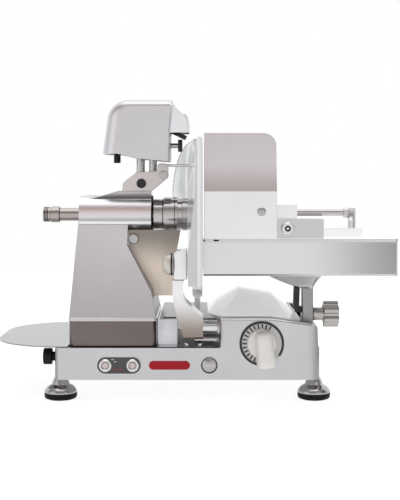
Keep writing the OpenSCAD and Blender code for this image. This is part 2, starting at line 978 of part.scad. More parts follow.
module gauge_arm() {
    color("#d6d3d2") placed() difference() {
        union() {
            front_outline(arm_y0, arm_y1 - arm_y0)
                polygon([
                    [block_x0 - 2, block_z0],
                    [block_x0 - 2, block_z0 - 23],
                    [block_x0, block_z0 - 38],
                    [block_x0 + 6, gauge_rod_z + 13],
                    [block_x0 + 12, gauge_rod_z - gauge_rod_d / 2 - 1],
                    [foot_x1, gauge_rod_z - gauge_rod_d / 2 - 1],
                    [foot_x1, gauge_rod_z + gauge_rod_d / 2 + 5],
                    [foot_x1 - 8, gauge_rod_z + gauge_rod_d / 2 + 9],
                    [foot_x1 - 16, gauge_rod_z + 29],
                    [block_x1, gauge_rod_z + 38],
                    [block_x1 - 5, gauge_rod_z + 48],
                    [block_x1 - 5, block_z0]
                ]);
            block([block_x0, arm_y0, block_z0], [block_x1, arm_y0 + 31, block_z1]);
            block([block_x1 - cut, arm_y0, block_z0 + 8],
                  [gauge_face - gauge_t, arm_y0 + 27, block_z1 - 8]);
        }
        along_x(block_x0 - cut, clamp_y, clamp_z)
            cylinder(d = screw_d + 2 * run_fit, h = 14 + cut);
    }
}

module gauge_clamp_knob() {
    knob_w = 17;
    color("#cfcac0") placed() {
        along_x(block_x0 - pass_gap, clamp_y, clamp_z)
            cylinder(d = screw_d, h = 13);
        along_x(block_x0 - pass_gap, clamp_y, clamp_z)
            rotate([180, 0, 0])
                rotate_extrude()
                    polygon([
                        [0, 0],
                        [clamp_knob_d / 2, 0],
                        [clamp_knob_d / 2, knob_w * 0.35],
                        [clamp_knob_d / 2 * 0.86, knob_w * 0.7],
                        [clamp_knob_d / 2 * 0.5, knob_w * 0.93],
                        [0, knob_w]
                    ]);
    }
}

// Dial: grip, shaft and a spiral cam that pushes the follower on the rod
cam_y = -84;
cam_w = 6;
cam_step = 5;
cam_rate = slice_max / dial_turn;
follower_r = 4;
follower_gap = 0.8;
follower_x = dial_x - cam_r - follower_gap - follower_r;
rod_end = follower_x + follower_r + 2;
grip_w = 32;
grip_l = 54;
grip_h = 34;
skirt_h = 5;
grip_tilt = -8;

function cam_reach(a) = a <= dial_turn ? cam_r + cam_rate * a
    : cam_r + slice_max * (360 - a) / (360 - dial_turn);

module thickness_cam() {
    color(dark_steel) placed() difference() {
        translate([dial_x, cam_y + cam_w, dial_z])
            rotate([90, 0, 0])
                linear_extrude(cam_w)
                    polygon([
                        for (a = [0 : cam_step : 360 - cam_step])
                            cam_reach(a) * [cos(180 + a), sin(180 + a)]
                    ]);
        along_y(dial_x, cam_y - cut, dial_z)
            cylinder(d = dial_shaft_d + 2 * seat, h = cam_w + 2 * cut);
    }
}

module dial_shaft() {
    y0 = base_y0 - scale_t - pass_gap;
    color(steel) placed() along_y(dial_x, y0, dial_z)
        cylinder(d = dial_shaft_d, h = cam_y + cam_w + 2 - y0);
}

module dial_knob() {
    y1 = base_y0 - scale_t - pass_gap;
    color("#e4e2dc") placed() {
        along_y(dial_x, y1 - skirt_h, dial_z)
            cylinder(d = dial_d - 22, h = skirt_h);
        intersection() {
            translate([dial_x, y1 - skirt_h, dial_z])
                rotate([90, -grip_tilt, 0])
                    linear_extrude(grip_h)
                        round_rect([-grip_w / 2, -grip_l / 2], [grip_w / 2, grip_l / 2], grip_w / 2 - 1);
            along_y(dial_x, y1 - skirt_h - grip_h, dial_z)
                translate([0, 0, 45])
                    sphere(r = 45);
        }
    }
}

module gauge_rod() {
    arm_low = dial_z - follower_r;
    color("#dfe1e4") placed() {
        along_x(foot_x1, -gauge_rod_y, gauge_rod_z)
            cylinder(d = gauge_rod_d, h = rod_end - foot_x1);
        block([follower_x - 9, -gauge_rod_y - 6, arm_low], [follower_x, cam_y + cam_w + 1, gauge_rod_z]);
        along_y(follower_x, cam_y - 1, dial_z)
            cylinder(r = follower_r, h = cam_w + 2);
    }
}

// Carriage: table, bracket, column on the rail, fence and pusher guide
table_y0 = -table_front;

module table_outline(i) {
    r = table_corner_r;
    difference() {
        translate([table_x0 + i, table_y0 + i])
            square([table_len - 2 * i, table_depth - 2 * i]);
        translate([table_x1 - r, table_y0 - cut])
            square([r + cut, r + cut]);
    }
    intersection() {
        translate([table_x1 - r, table_y0 + r])
            circle(r - i, $fn = 160);
        translate([table_x1 - r, table_y0])
            square([r, r + cut]);
    }
}

module carriage_table() {
    color("#c8cacd") placed() translate([0, 0, table_z - table_skirt]) difference() {
        linear_extrude(table_skirt)
            table_outline(0);
        translate([0, 0, -cut])
            linear_extrude(table_skirt - table_t + cut)
                table_outline(table_t);
    }
}

bracket_y0 = -105;
bracket_y1 = -45;
column_top = 168;
column_x0 = column_x - column_w / 2;
column_x1 = column_x + column_w / 2;

module carriage_bracket() {
    z1 = table_z - table_t;
    z0 = table_z - table_skirt;
    color(cast_metal) placed() front_outline(bracket_y0, bracket_y1 - bracket_y0)
        polygon([
            [column_x0 - 56, z0],
            [column_x0 - 34, z0 - 14],
            [column_x0 - 16, z0 - 20],
            [column_x0 - 2, column_top],
            [column_x1 + 1, column_top],
            [column_x1 + 8, z0 - 8],
            [column_x1 + 11, z0],
            [column_x1 + 4, z0 + 8],
            [column_x1 + 4, z1],
            [column_x0 - 40, z1],
            [column_x0 - 40, z0 + 8]
        ]);
}

slide_w = 20;
slide_len = 54;
slide_z0 = 56;
slide_z1 = 84;
slide_bush_wall = 2;
slide_bush_len = 14;
fork_t = 6;
lock_z = 127;

module carriage_column() {
    x0 = rail_x - slide_w / 2;
    y0 = -column_y - slide_len / 2;
    fork_x0 = guide_x - guide_w / 2 - pass_gap - fork_t;
    fork_x1 = guide_x + guide_w / 2 + pass_gap + fork_t;
    arm_z = guide_z1 + pass_gap;
    color("#c3c5c9") placed() difference() {
        union() {
            block([column_x0, -column_y - column_d / 2, slide_z0],
                  [column_x1, -column_y + column_d / 2, column_top]);
            block([x0, y0, slide_z0], [x0 + slide_w, y0 + slide_len, slide_z1]);
            block([fork_x0, -column_y - 10, guide_z0 + 2], [column_x1, -column_y + 10, arm_z + 8]);
            block([column_x0, -column_y - 10, guide_z0 + 2], [column_x1, -column_y + 10, slide_z0 + cut]);
        }
        block([fork_x0 + fork_t, -column_y - 11, guide_z0], [fork_x1 - fork_t, -column_y + 11, arm_z]);
        block([fork_x1, -column_y - 11, guide_z0], [column_x0, -column_y + 11, arm_z - 3]);
        along_y(rail_x, y0 - cut, rail_z)
            cylinder(d = rail_d + 2 * slide_bush_wall, h = slide_len + 2 * cut);
        along_x(column_x1 - 12, -column_y, lock_z)
            cylinder(d = screw_d + 2 * run_fit, h = 12 + cut);
    }
}

module slide_bushes() {
    y0 = -column_y - slide_len / 2;
    color("#b08d4a") placed() for (y = [y0, y0 + slide_len - slide_bush_len])
        along_y(rail_x, y, rail_z)
            ring(rail_d + 2 * slide_bush_wall - 2 * seat, rail_d + 2 * run_fit, slide_bush_len);
}

module carriage_stay() {
    z0 = hump_z + 4;
    color(black) placed() front_outline(-column_y - 8, 16)
        polygon([
            [column_x0, z0],
            [column_x0, z0 + 8],
            [column_x0 - 4, z0 + 10],
            [column_x0 - 3, column_top],
            [column_x0 - 12, column_top + 1.5],
            [column_x0 - 13, z0 + 10],
            [column_x0 - 10, z0]
        ]);
}

module carriage_lock_knob() {
    lobe_r = 6;
    stub_len = 16;
    knob_w = 23;
    ring_r = lock_knob_d / 2 - lobe_r;
    color("#a9a8a5") placed() along_x(column_x1 + pass_gap, -column_y, lock_z) {
        translate([0, 0, -11])
            cylinder(d = screw_d, h = 12);
        cylinder(d = 20, h = stub_len + cut);
        translate([0, 0, stub_len])
            linear_extrude(knob_w)
                union() {
                    circle(ring_r + 1);
                    for (a = [0 : 60 : 300])
                        rotate(a)
                            translate([ring_r, 0])
                                circle(lobe_r);
                }
    }
}

// Fence plate at the table's front edge, bent back above its middle
fence_corner_r = 20;
fence_x0 = table_x0 + 1;
fence_screw_x = fence_x0 + fence_w - 23;
fence_screw_z = table_z + 40;
fence_screw_d = 13;

module fence_plate() {
    bend = [table_y0, table_z + fence_bend];
    rise = [tan(fence_lean), 1] * (fence_h - fence_bend);
    thick = [fence_t, 0];
    r = fence_corner_r;
    color("#cfd0d4") placed() intersection() {
        side_outline(fence_x0, fence_w)
            polygon([
                [table_y0, table_z],
                bend,
                bend + rise,
                bend + rise + thick,
                bend + thick,
                [table_y0 + fence_t, table_z]
            ]);
        front_outline(table_y0 - cut, rise.x + fence_t + 2 * cut)
            union() {
                translate([fence_x0, table_z])
                    square([fence_w, fence_h - r]);
                translate([fence_x0, table_z])
                    square([fence_w - r, fence_h]);
                translate([fence_x0 + fence_w - r, table_z + fence_h - r])
                    circle(r);
            }
    }
}

module fence_screw() {
    color(dark_steel) placed() along_y(fence_screw_x, table_y0 - 3, fence_screw_z)
        cylinder(d = fence_screw_d, h = 3);
}

guide_x0 = fence_x0 + fence_w + 1;
guide_len = 69;
tower_block_len = 30;
guide_y0 = -push_rod_y - 18;
guide_y1 = -push_rod_y + 22;
guide_top = push_rod_z - 9;
bar_y = 12;
bar_h = 13;
bar_z0 = table_z + 2;

module pusher_guide() {
    color("#c0c1c4") placed() difference() {
        union() {
            block([guide_x0, guide_y0, table_z], [guide_x0 + guide_len, guide_y1, guide_top]);
            block([guide_x0, -push_rod_y - 13, guide_top - cut],
                  [guide_x0 + tower_block_len, -push_rod_y + 13, push_rod_z + 12]);
        }
        block([guide_x0 - cut, -push_rod_y - bar_y - pass_gap, bar_z0 - pass_gap],
              [guide_x0 + guide_len + cut, -push_rod_y + bar_y + pass_gap, bar_z0 + bar_h + pass_gap]);
        along_x(guide_x0 - cut, -push_rod_y, push_rod_z)
            cylinder(d = push_rod_d + 2 * run_fit, h = tower_block_len + 2 * cut);
        along_y(guide_x0 + 15, guide_y0 - cut, bar_z0 + bar_h)
            cylinder(d = 6 + 2 * run_fit, h = 6);
    }
}

module pusher_lock_knob() {
    color("#8d8f92") placed() {
        along_y(guide_x0 + 15, guide_y0 - pass_gap - 8, bar_z0 + bar_h)
            cylinder(d = 19, h = 8);
        along_y(guide_x0 + 15, guide_y0 - pass_gap - 1, bar_z0 + bar_h)
            cylinder(d = 6, h = 5);
    }
}

elbow_x0 = guide_x0 + guide_len + push_in + 3;
elbow_w = 10;
push_plate_t = 6;
push_plate_x = guide_x0 - push_out - push_plate_t - 17;
nut_w = 8;

module pusher_rod() {
    color("#e0e1e4") placed() {
        along_x(push_plate_x + push_plate_t, -push_rod_y, push_rod_z)
            cylinder(d = push_rod_d, h = elbow_x0 - push_plate_x - push_plate_t);
        along_x(elbow_x0 - nut_w, -push_rod_y, push_rod_z)
            cylinder(d = 1.6 * push_rod_d, h = nut_w, $fn = 6);
    }
}

module pusher_bar() {
    x0 = guide_x0 + 9;
    color("#cdced1") placed() {
        block([x0, -push_rod_y - bar_y, bar_z0],
              [elbow_x0 + elbow_w + 9, -push_rod_y + bar_y, bar_z0 + bar_h]);
        block([elbow_x0, -push_rod_y - 6, bar_z0 + bar_h - cut],
              [elbow_x0 + elbow_w, -push_rod_y + 6, push_rod_z + 7]);
    }
}

module pusher_plate() {
    color("#d4d6d9") placed() side_outline(push_plate_x, push_plate_t)
        round_rect([-push_rod_y - 20, table_z + 3], [20, push_rod_z + 35], 10);
}

// Sharpener bracket: two cheeks on the saddle, with a pivot pin and a stop bolt
cheek_y = 10;
bolt_x = -62.5;
bolt_z = pivot_z + 13;
lug_z = pivot_z + 32;
bolt_d = 8;
pin_head_h = 4;

module sharpener_bracket() {
    color("#b3aeab") placed() difference() {
        union() {
            for (y = [-cheek_y - cheek_t, cheek_y])
                front_outline(y, cheek_t)
                    polygon([
                        [-pivot_x - 31, saddle_z],
                        [-pivot_x - 30, pivot_z],
                        [-pivot_x - 26, pivot_z + 4],
                        [-pivot_x - 7, pivot_z + 18],
                        [bolt_x - 9.5, pivot_z + 20],
                        [bolt_x - 9.5, lug_z - 3],
                        [bolt_x - 7, lug_z],
                        [bolt_x + 4, lug_z],
                        [bolt_x + 7, lug_z - 3],
                        [bolt_x + 7, bolt_z + 2],
                        [bolt_x + 6, bolt_z - 4],
                        [-barrel_right + 5, saddle_z + 4],
                        [-barrel_right, saddle_z]
                    ]);
            block([-pivot_x - 29, -cheek_y - cut, saddle_z], [-pivot_x - 22, cheek_y + cut, saddle_z + 8]);
        }
        along_y(-pivot_x, -cheek_y - cheek_t - cut, pivot_z)
            cylinder(d = pivot_d + 2 * seat, h = 2 * (cheek_y + cheek_t + cut));
        along_y(bolt_x, -cheek_y - cheek_t - cut, bolt_z)
            cylinder(d = bolt_d + 2 * seat, h = 2 * (cheek_y + cheek_t + cut));
    }
}

module headed_pin(d, head_d, head_h) {
    reach = cheek_y + cheek_t + seat;
    translate([0, 0, -reach - head_h])
        cylinder(d = head_d, h = head_h);
    translate([0, 0, -reach - 1])
        cylinder(d = d, h = 2 * reach + 2);
    translate([0, 0, reach])
        cylinder(d = head_d, h = head_h);
}

module bracket_pins() {
    color(black) placed() {
        along_y(-pivot_x, 0, pivot_z)
            headed_pin(pivot_d, pivot_d + 5, pin_head_h);
        along_y(bolt_x, 0, bolt_z)
            headed_pin(bolt_d, bolt_d + 6, pin_head_h);
    }
}

// Sharpener head: cover, arm on the pivot, wheels and lock button
cover_y = cover_depth / 2;
cover_left = -159;
cover_low = pivot_z + 47;
cover_right = -52;
cover_end = pivot_z + 35;
cover_top = cover_end + cover_h;
nose_right = -19;
nose_low = cover_top - 52;
arc_r = 34;
arc_step = 10;
arm_half = cheek_y - 1;
chassis_z = pivot_z + 51;
chassis_t = 6;
wheel_x = -38;
wheel_z = cover_top - 54;
wheel_tilt = 26.5;
spindle_d = 8;
honing_x = -36;
honing_z = cover_top - 72;
honing_d = 20;
lock_x = -138;
lock_stem_d = 8;
lock_head_d = 11;
lock_head_z = chassis_z - 18;

// Outline of the cover, drawn in by a wall; the cut-out side opens downwards
function cover_points(i, open) = concat(
    [[cover_left + i, cover_low - open]],
    [for (a = [170 : -arc_step : 90])
        [cover_left + 7 + arc_r, cover_top - arc_r] + (arc_r - i) * [cos(a), sin(a)]],
    [
        [-49, cover_top - i],
        [-33 - i / 2, cover_top - 16 - i / 2],
        [-24 - i / 2, cover_top - 20 - i],
        [nose_right - i, cover_top - 40],
        [nose_right - i, nose_low - open],
        [-47, nose_low - open],
        [cover_right - i, nose_low - 6],
        [cover_right - i, cover_end - open],
        [-106, cover_end + 5 - open],
        [-124, cover_low - 2 - open]
    ]
);

module sharpener_cover() {
    color("#d5d6d9") placed() difference() {
        front_outline(-cover_y, 2 * cover_y)
            polygon(cover_points(0, 0));
        front_outline(-cover_y + cover_wall, 2 * (cover_y - cover_wall))
            polygon(cover_points(cover_wall, cut));
        along_x(cover_right - 2 * cover_wall, 0, honing_z)
            cylinder(d = spindle_d + 8, h = 3 * cover_wall);
    }
}

module sharpener_arm() {
    y1 = cover_y - cover_wall - seat;
    color("#a6a8ac") placed() difference() {
        union() {
            along_y(-pivot_x, -arm_half, pivot_z)
                cylinder(d = pivot_d + 13, h = 2 * arm_half);
            block([-pivot_x - 10, -arm_half, pivot_z], [-pivot_x + 26, arm_half, pivot_z + 18]);
            translate([-pivot_x - 2, 0, pivot_z + 17])
                cylinder(d = 14, h = chassis_z - pivot_z - 16);
            translate([-pivot_x + 18, 0, pivot_z + 17])
                cylinder(d = 13, h = chassis_z - pivot_z - 16);
            block([-146, -y1, chassis_z], [cover_right - cover_wall - 1, y1, chassis_z + chassis_t]);
            block([-66, -10, chassis_z], [cover_right - cover_wall - 1, 10, wheel_z + 20]);
            block([-66, -10, wheel_z + 14], [-24, 10, wheel_z + 20]);
            translate([wheel_x, 0, wheel_z])
                rotate([0, wheel_tilt, 0])
                    translate([0, 0, -wheel_t / 2])
                        cylinder(d = spindle_d, h = 22);
            along_x(-60, 0, honing_z)
                cylinder(d = spindle_d, h = honing_x + wheel_t / 2 + 60);
        }
        along_y(-pivot_x, -arm_half - cut, pivot_z)
            cylinder(d = pivot_d + 2 * run_fit, h = 2 * (arm_half + cut));
        translate([lock_x, 0, chassis_z - cut])
            cylinder(d = lock_stem_d + 2 * run_fit, h = chassis_t + 2 * cut);
    }
}

module grinding_wheel() {
    color(black) placed() translate([wheel_x, 0, wheel_z])
        rotate([0, wheel_tilt, 0])
            translate([0, 0, -wheel_t / 2])
                ring(wheel_d, spindle_d + 2 * run_fit, wheel_t);
}

module deburring_wheel() {
    color("#2b2b2d") placed() along_x(honing_x - wheel_t / 2, 0, honing_z)
        ring(honing_d, spindle_d + 2 * run_fit, wheel_t);
}

module sharpener_button() {
    color(black) placed() {
        translate([lock_x, 0, lock_head_z])
            cylinder(d = lock_head_d, h = chassis_z - lock_head_z - 4);
        translate([lock_x, 0, lock_head_z + 2])
            cylinder(d = lock_stem_d, h = chassis_z + chassis_t + 6 - lock_head_z);
    }
}

// Receiving plate on the low deck, cut out round the tower
plate_front = -118;
plate_back = base_y1 + 10;
plate_z = deck_z + 0.3;
plate_clear = 3;

module receiving_plate() {
    r = plate_corner_r;
    x1 = raised_x - plate_clear;
    color("#c5cace") placed() translate([0, 0, plate_z])
        linear_extrude(plate_t)
            difference() {
                union() {
                    round_rect([-plate_left, plate_front], [-plate_left + 2 * r + 1, plate_back], r);
                    translate([-plate_left + r, plate_front])
                        square([-tower_left - plate_clear + plate_left - r, plate_back - plate_front]);
                    translate([-plate_left + r, tower_back + plate_clear])
                        square([x1 + plate_left - r, plate_back - tower_back - plate_clear]);
                }
                translate([-tower_left - plate_clear, plate_front - cut])
                    square([tower_left, tower_back + plate_clear - plate_front + cut]);
            }
}

module plate_clamp_knob() {
    head_w = 13;
    neck_w = 6;
    color(black) placed() {
        along_x(base_x0 - pass_gap - neck_w - head_w, plate_knob_y, plate_knob_z)
            cylinder(d = 25, h = head_w);
        along_x(base_x0 - pass_gap - neck_w, plate_knob_y, plate_knob_z)
            cylinder(d = 14, h = neck_w);
        along_x(base_x0 - pass_gap - 1, plate_knob_y, plate_knob_z)
            cylinder(d = screw_d, h = base_wall + 6);
    }
}

base_casting();
bottom_plate();
foot_bells();
foot_pads();
tower_plinth();
tower_housing();
motor_body();
shaft_bearings();
shaft_seal();
drive_belt();
control_panel();
badge_plate();
dial_scale();
side_plug();
cord_gland();
carriage_rails();
gauge_rod_bush();
rear_hood();
ring_guard();
slice_deflector();
deflector_bolt();
sharpener_bracket();
bracket_pins();
blade_shaft();
driven_pulley();
blade();
blade_screws();
motor_shaft();
motor_pulley();
tie_rod();
blade_cover();
gauge_plate();
gauge_arm();
gauge_rod();
gauge_clamp_knob();
dial_knob();
dial_shaft();
thickness_cam();
start_button();
stop_button();
carriage_table();
carriage_bracket();
carriage_column();
carriage_stay();
slide_bushes();
fence_plate();
fence_screw();
pusher_guide();
carriage_lock_knob();
pusher_rod();
pusher_bar();
pusher_plate();
pusher_lock_knob();
sharpener_cover();
sharpener_arm();
grinding_wheel();
deburring_wheel();
sharpener_button();
receiving_plate();
plate_clamp_knob();
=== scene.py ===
import json
import math

import bmesh
import bpy
from mathutils import Matrix, Vector


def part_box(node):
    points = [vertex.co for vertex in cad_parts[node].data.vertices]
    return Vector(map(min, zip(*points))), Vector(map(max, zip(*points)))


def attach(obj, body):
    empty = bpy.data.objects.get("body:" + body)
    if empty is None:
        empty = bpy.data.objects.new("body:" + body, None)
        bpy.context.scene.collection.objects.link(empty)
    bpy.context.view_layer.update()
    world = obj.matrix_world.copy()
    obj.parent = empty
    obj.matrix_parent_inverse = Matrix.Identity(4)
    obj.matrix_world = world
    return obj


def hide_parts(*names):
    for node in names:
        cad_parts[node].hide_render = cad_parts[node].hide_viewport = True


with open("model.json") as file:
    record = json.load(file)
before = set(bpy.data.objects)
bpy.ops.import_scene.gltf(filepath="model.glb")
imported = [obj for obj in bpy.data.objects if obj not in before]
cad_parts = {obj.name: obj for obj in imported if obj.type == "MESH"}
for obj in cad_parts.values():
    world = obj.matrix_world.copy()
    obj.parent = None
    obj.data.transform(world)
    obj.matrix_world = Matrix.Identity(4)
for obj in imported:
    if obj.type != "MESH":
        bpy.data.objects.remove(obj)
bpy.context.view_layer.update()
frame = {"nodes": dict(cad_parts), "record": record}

# Operator's view: level, from the front and well back, so that the blade
# stands edge-on and the machine fills the width of the picture.
IMAGE_LONG_SIDE = 500
FOCAL_PIXELS = 1050
SENSOR_MM = 36
LENS_SHIFT = -0.13
EYE = (0.014, -1.693, 0.3265)
camera_data = bpy.data.cameras.new("operator_view")
camera_data.sensor_width = SENSOR_MM
camera_data.lens = SENSOR_MM * FOCAL_PIXELS / IMAGE_LONG_SIDE
camera_data.clip_start = 0.05
camera_data.clip_end = 60
camera_data.shift_y = LENS_SHIFT
camera = bpy.data.objects.new("operator_view", camera_data)
camera.location = EYE
camera.rotation_euler = (math.radians(90), 0, 0)
bpy.context.scene.collection.objects.link(camera)
bpy.context.scene.camera = camera

# Studio: a white table top that runs out of sight, and a bright room with a
# warm grey band above the horizon and darker sides, which the metals mirror.
bpy.context.scene.view_settings.view_transform = "Standard"


def feed(tree, socket, value):
    """Links an output to a socket, or sets a plain value on it."""
    if isinstance(value, bpy.types.NodeSocket):
        tree.links.new(value, socket)
    else:
        socket.default_value = value


def mapped(tree, value, low, high, to_low=0, to_high=1, ease="LINEAR"):
    """Value carried from one range to another."""
    node = tree.nodes.new("ShaderNodeMapRange")
    node.interpolation_type = ease
    limits = {"From Min": low, "From Max": high, "To Min": to_low, "To Max": to_high}
    for name, limit in limits.items():
        node.inputs[name].default_value = limit
    tree.links.new(value, node.inputs["Value"])
    return node.outputs["Result"]


def mixed(tree, first, second, factor, blend="MIX"):
    """Mix of two colours."""
    node = tree.nodes.new("ShaderNodeMix")
    node.data_type = "RGBA"
    node.blend_type = blend
    for name, value in (("A", first), ("B", second), ("Factor", factor)):
        feed(tree, node.inputs[name], value)
    return node.outputs["Result"]


def rgb(tint):
    """Three colour values of a tint, or of a grey that is given as one number."""
    return tint if isinstance(tint, tuple) else (tint, tint, tint)


def ramped(tree, value, stops):
    """Colours that follow one another along a value from 0 to 1."""
    node = tree.nodes.new("ShaderNodeValToRGB")
    ramp = node.color_ramp
    while len(ramp.elements) < len(stops):
        ramp.elements.new(0.5)
    for stop, (place, colour) in zip(ramp.elements, stops):
        stop.position = place
        stop.color = (*rgb(colour), 1)
    tree.links.new(value, node.inputs["Fac"])
    return node.outputs["Color"]


FLOOR_HALF = 2.4
FLOOR_GLOW, SEEN_GLOW = 0.66, 0.82
FLOOR_LOOK = {
    "Base Color": (0.42, 0.42, 0.42, 1), "Roughness": 0.9,
    "Specular IOR Level": 0.0, "Emission Color": (1, 1, 1, 1),
}
floor_bm = bmesh.new()
bmesh.ops.create_grid(floor_bm, x_segments=4, y_segments=4, size=FLOOR_HALF)
floor_mesh = bpy.data.meshes.new("table_top")
floor_bm.to_mesh(floor_mesh)
floor_bm.free()
floor = bpy.data.objects.new("table_top", floor_mesh)
bpy.context.scene.collection.objects.link(floor)
floor_paint = bpy.data.materials.new("white_table")
floor_paint.use_nodes = True
floor_tree = floor_paint.node_tree
floor_shader = floor_tree.nodes["Principled BSDF"]
for socket, value in FLOOR_LOOK.items():
    floor_shader.inputs[socket].default_value = value
floor_path = floor_tree.nodes.new("ShaderNodeLightPath")
floor_glow = mapped(floor_tree, floor_path.outputs["Is Camera Ray"], 0, 1, FLOOR_GLOW, SEEN_GLOW)
floor_tree.links.new(floor_glow, floor_shader.inputs["Emission Strength"])
floor_mesh.materials.append(floor_paint)

ROOM_BY_HEIGHT = [
    (-1.00, 0.88), (-0.04, 0.92), (0.10, (0.88, 0.87, 0.87)),
    (0.22, (0.74, 0.70, 0.70)), (0.38, (0.66, 0.62, 0.63)), (0.52, (0.38, 0.33, 0.31)),
    (0.70, (0.40, 0.36, 0.34)), (0.80, (0.62, 0.59, 0.59)), (0.88, (0.78, 0.77, 0.78)),
    (1.00, 1.00),
]
ROOM_BY_SIDE = [
    (-1.00, (0.84, 0.84, 0.85)), (-0.45, (0.94, 0.94, 0.95)), (-0.15, 1.00),
    (0.30, (0.96, 0.96, 0.97)), (0.52, (0.68, 0.69, 0.71)), (0.80, (0.52, 0.53, 0.55)),
    (1.00, (0.46, 0.47, 0.49)),
]
BACK_WALL = [(-1.00, 0.00), (0.04, 0.00), (0.30, 1.00), (1.00, 1.00)]
BACK_TINT = (0.95, 0.95, 0.96, 1)
ROOM_STRENGTH = 1.1
SEEN_WHITE = (*rgb(1 / ROOM_STRENGTH), 1)
room = bpy.data.worlds.new("studio_room")
room.use_nodes = True
bpy.context.scene.world = room
room_tree = room.node_tree
room_tree.nodes.clear()
room_coord = room_tree.nodes.new("ShaderNodeTexCoord")
room_split = room_tree.nodes.new("ShaderNodeSeparateXYZ")
room_tree.links.new(room_coord.outputs["Generated"], room_split.inputs["Vector"])


def room_ramp(axis, stops):
    """Colours of the room along one part of its direction, from -1 to 1."""
    reach = mapped(room_tree, room_split.outputs[axis], -1, 1)
    return ramped(room_tree, reach, [((place + 1) / 2, colour) for place, colour in stops])


room_sides = mixed(room_tree, room_ramp("Z", ROOM_BY_HEIGHT), room_ramp("X", ROOM_BY_SIDE), 1, "MULTIPLY")
room_light = room_tree.nodes.new("ShaderNodeBackground")
room_light.inputs["Strength"].default_value = ROOM_STRENGTH
room_tint = mixed(room_tree, room_sides, BACK_TINT, room_ramp("Y", BACK_WALL))
room_path = room_tree.nodes.new("ShaderNodeLightPath")
room_seen = mixed(room_tree, room_tint, SEEN_WHITE, room_path.outputs["Is Camera Ray"])
room_tree.links.new(room_seen, room_light.inputs["Color"])
room_out = room_tree.nodes.new("ShaderNodeOutputWorld")
room_tree.links.new(room_light.outputs["Background"], room_out.inputs["Surface"])


def soft_lamp(name, place, aim, size, power):
    """Square area lamp that looks at a point."""
    data = bpy.data.lights.new(name, "AREA")
    data.shape = "SQUARE"
    data.size = size
    data.energy = power
    lamp = bpy.data.objects.new(name, data)
    lamp.location = place
    lamp.rotation_euler = (Vector(aim) - Vector(place)).to_track_quat("-Z", "Y").to_euler()
    bpy.context.scene.collection.objects.link(lamp)


MACHINE_MIDDLE = (0, 0, 0.22)
soft_lamp("lamp_over", (0, 0, 1.9), MACHINE_MIDDLE, 2.0, 8)
soft_lamp("lamp_left", (-1.5, -1.0, 0.7), MACHINE_MIDDLE, 1.2, 2)
soft_lamp("lamp_right", (1.2, -1.6, 0.8), MACHINE_MIDDLE, 1.2, 1.5)

# Base casting: one hollow aluminium casting with a low deck, a raised deck
# and the carriage hump. It is bead blasted, and its outer edges are well rounded.
MM = 0.001
SHARP = math.radians(28)
BODY_OF = {n: b for b, ns in frame["record"]["behaviour"]["bodies"].items() for n in ns}


def copied(node):
    """Mesh of a CAD node with its triangles merged back into plain faces."""
    bm = bmesh.new()
    bm.from_mesh(frame["nodes"][node].data)
    bmesh.ops.remove_doubles(bm, verts=bm.verts, dist=2e-6)
    flat = math.radians(0.6)
    bmesh.ops.dissolve_limit(bm, angle_limit=flat, verts=bm.verts, edges=bm.edges)
    return bm


def rounded(bm, width, segments=3, pick=None, clamp=True):
    """Rounds the sharp edges that pick accepts, by the edge and its middle point."""
    chosen = []
    for edge in bm.edges:
        if not edge.is_manifold or edge.calc_face_angle() < SHARP:
            continue
        middle = (edge.verts[0].co + edge.verts[1].co) / 2
        if pick is None or pick(edge, middle):
            chosen.append(edge)
    bmesh.ops.bevel(bm, geom=chosen, offset=width * MM, offset_type="OFFSET", affect="EDGES",
                    segments=segments, profile=0.5, material=-1, clamp_overlap=clamp)
    return bm


def piece(bm, name, body, material, stands_for=(), smooth=40):
    """Turns a finished bmesh into a shown piece that rides on a body."""
    bmesh.ops.recalc_face_normals(bm, faces=bm.faces)
    mesh = bpy.data.meshes.new(name)
    bm.to_mesh(mesh)
    bm.free()
    mesh.materials.append(material)
    mesh.shade_smooth()
    mesh.set_sharp_from_angle(angle=math.radians(smooth))
    obj = bpy.data.objects.new(name, mesh)
    bpy.context.scene.collection.objects.link(obj)
    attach(obj, body)
    if stands_for:
        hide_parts(*stands_for)
    even = obj.modifiers.new("even_shading", "WEIGHTED_NORMAL")
    even.keep_sharp = True
    return obj


def set_apart(bm, index, pick):
    """Marks the faces that pick accepts, by normal and middle, for another finish."""
    for face in bm.faces:
        if pick(face.normal, face.calc_center_median()):
            face.material_index = index


def finishes(obj, *materials):
    """Further finishes of a piece, for the faces that are set apart."""
    for material in materials:
        obj.data.materials.append(material)


def shown_as(node, bm, name, material, smooth=40):
    """Piece that takes the place of a CAD node, on its body."""
    return piece(bm, name, BODY_OF[node], material, [node], smooth)


def softened(node, width, material, segments=3, pick=None, smooth=40):
    """Shown copy of a CAD node with its sharp edges rounded."""
    bm = rounded(copied(node), width, segments, pick)
    return shown_as(node, bm, node + "_soft", material, smooth)


CLOUD_SCALE = 12
NOISE_SPAN = (0.3, 0.7)
POLISH_SPREAD = 0.06
RELIEF_DEPTH = 0.3 * MM


def noise_field(tree, vector, scale, stretch=(1, 1, 1), detail=3):
    """Noise texture on object coordinates, stretched by a mapping node."""
    mapping = tree.nodes.new("ShaderNodeMapping")
    mapping.inputs["Scale"].default_value = stretch
    noise = tree.nodes.new("ShaderNodeTexNoise")
    noise.inputs["Scale"].default_value = scale
    noise.inputs["Detail"].default_value = detail
    tree.links.new(vector, mapping.inputs["Vector"])
    tree.links.new(mapping.outputs["Vector"], noise.inputs["Vector"])
    return noise.outputs["Fac"]


def place_on(tree, axis):
    """Object coordinate along one axis."""
    split = tree.nodes.new("ShaderNodeSeparateXYZ")
    tree.links.new(tree.nodes.new("ShaderNodeTexCoord").outputs["Object"], split.inputs["Vector"])
    return split.outputs[axis]


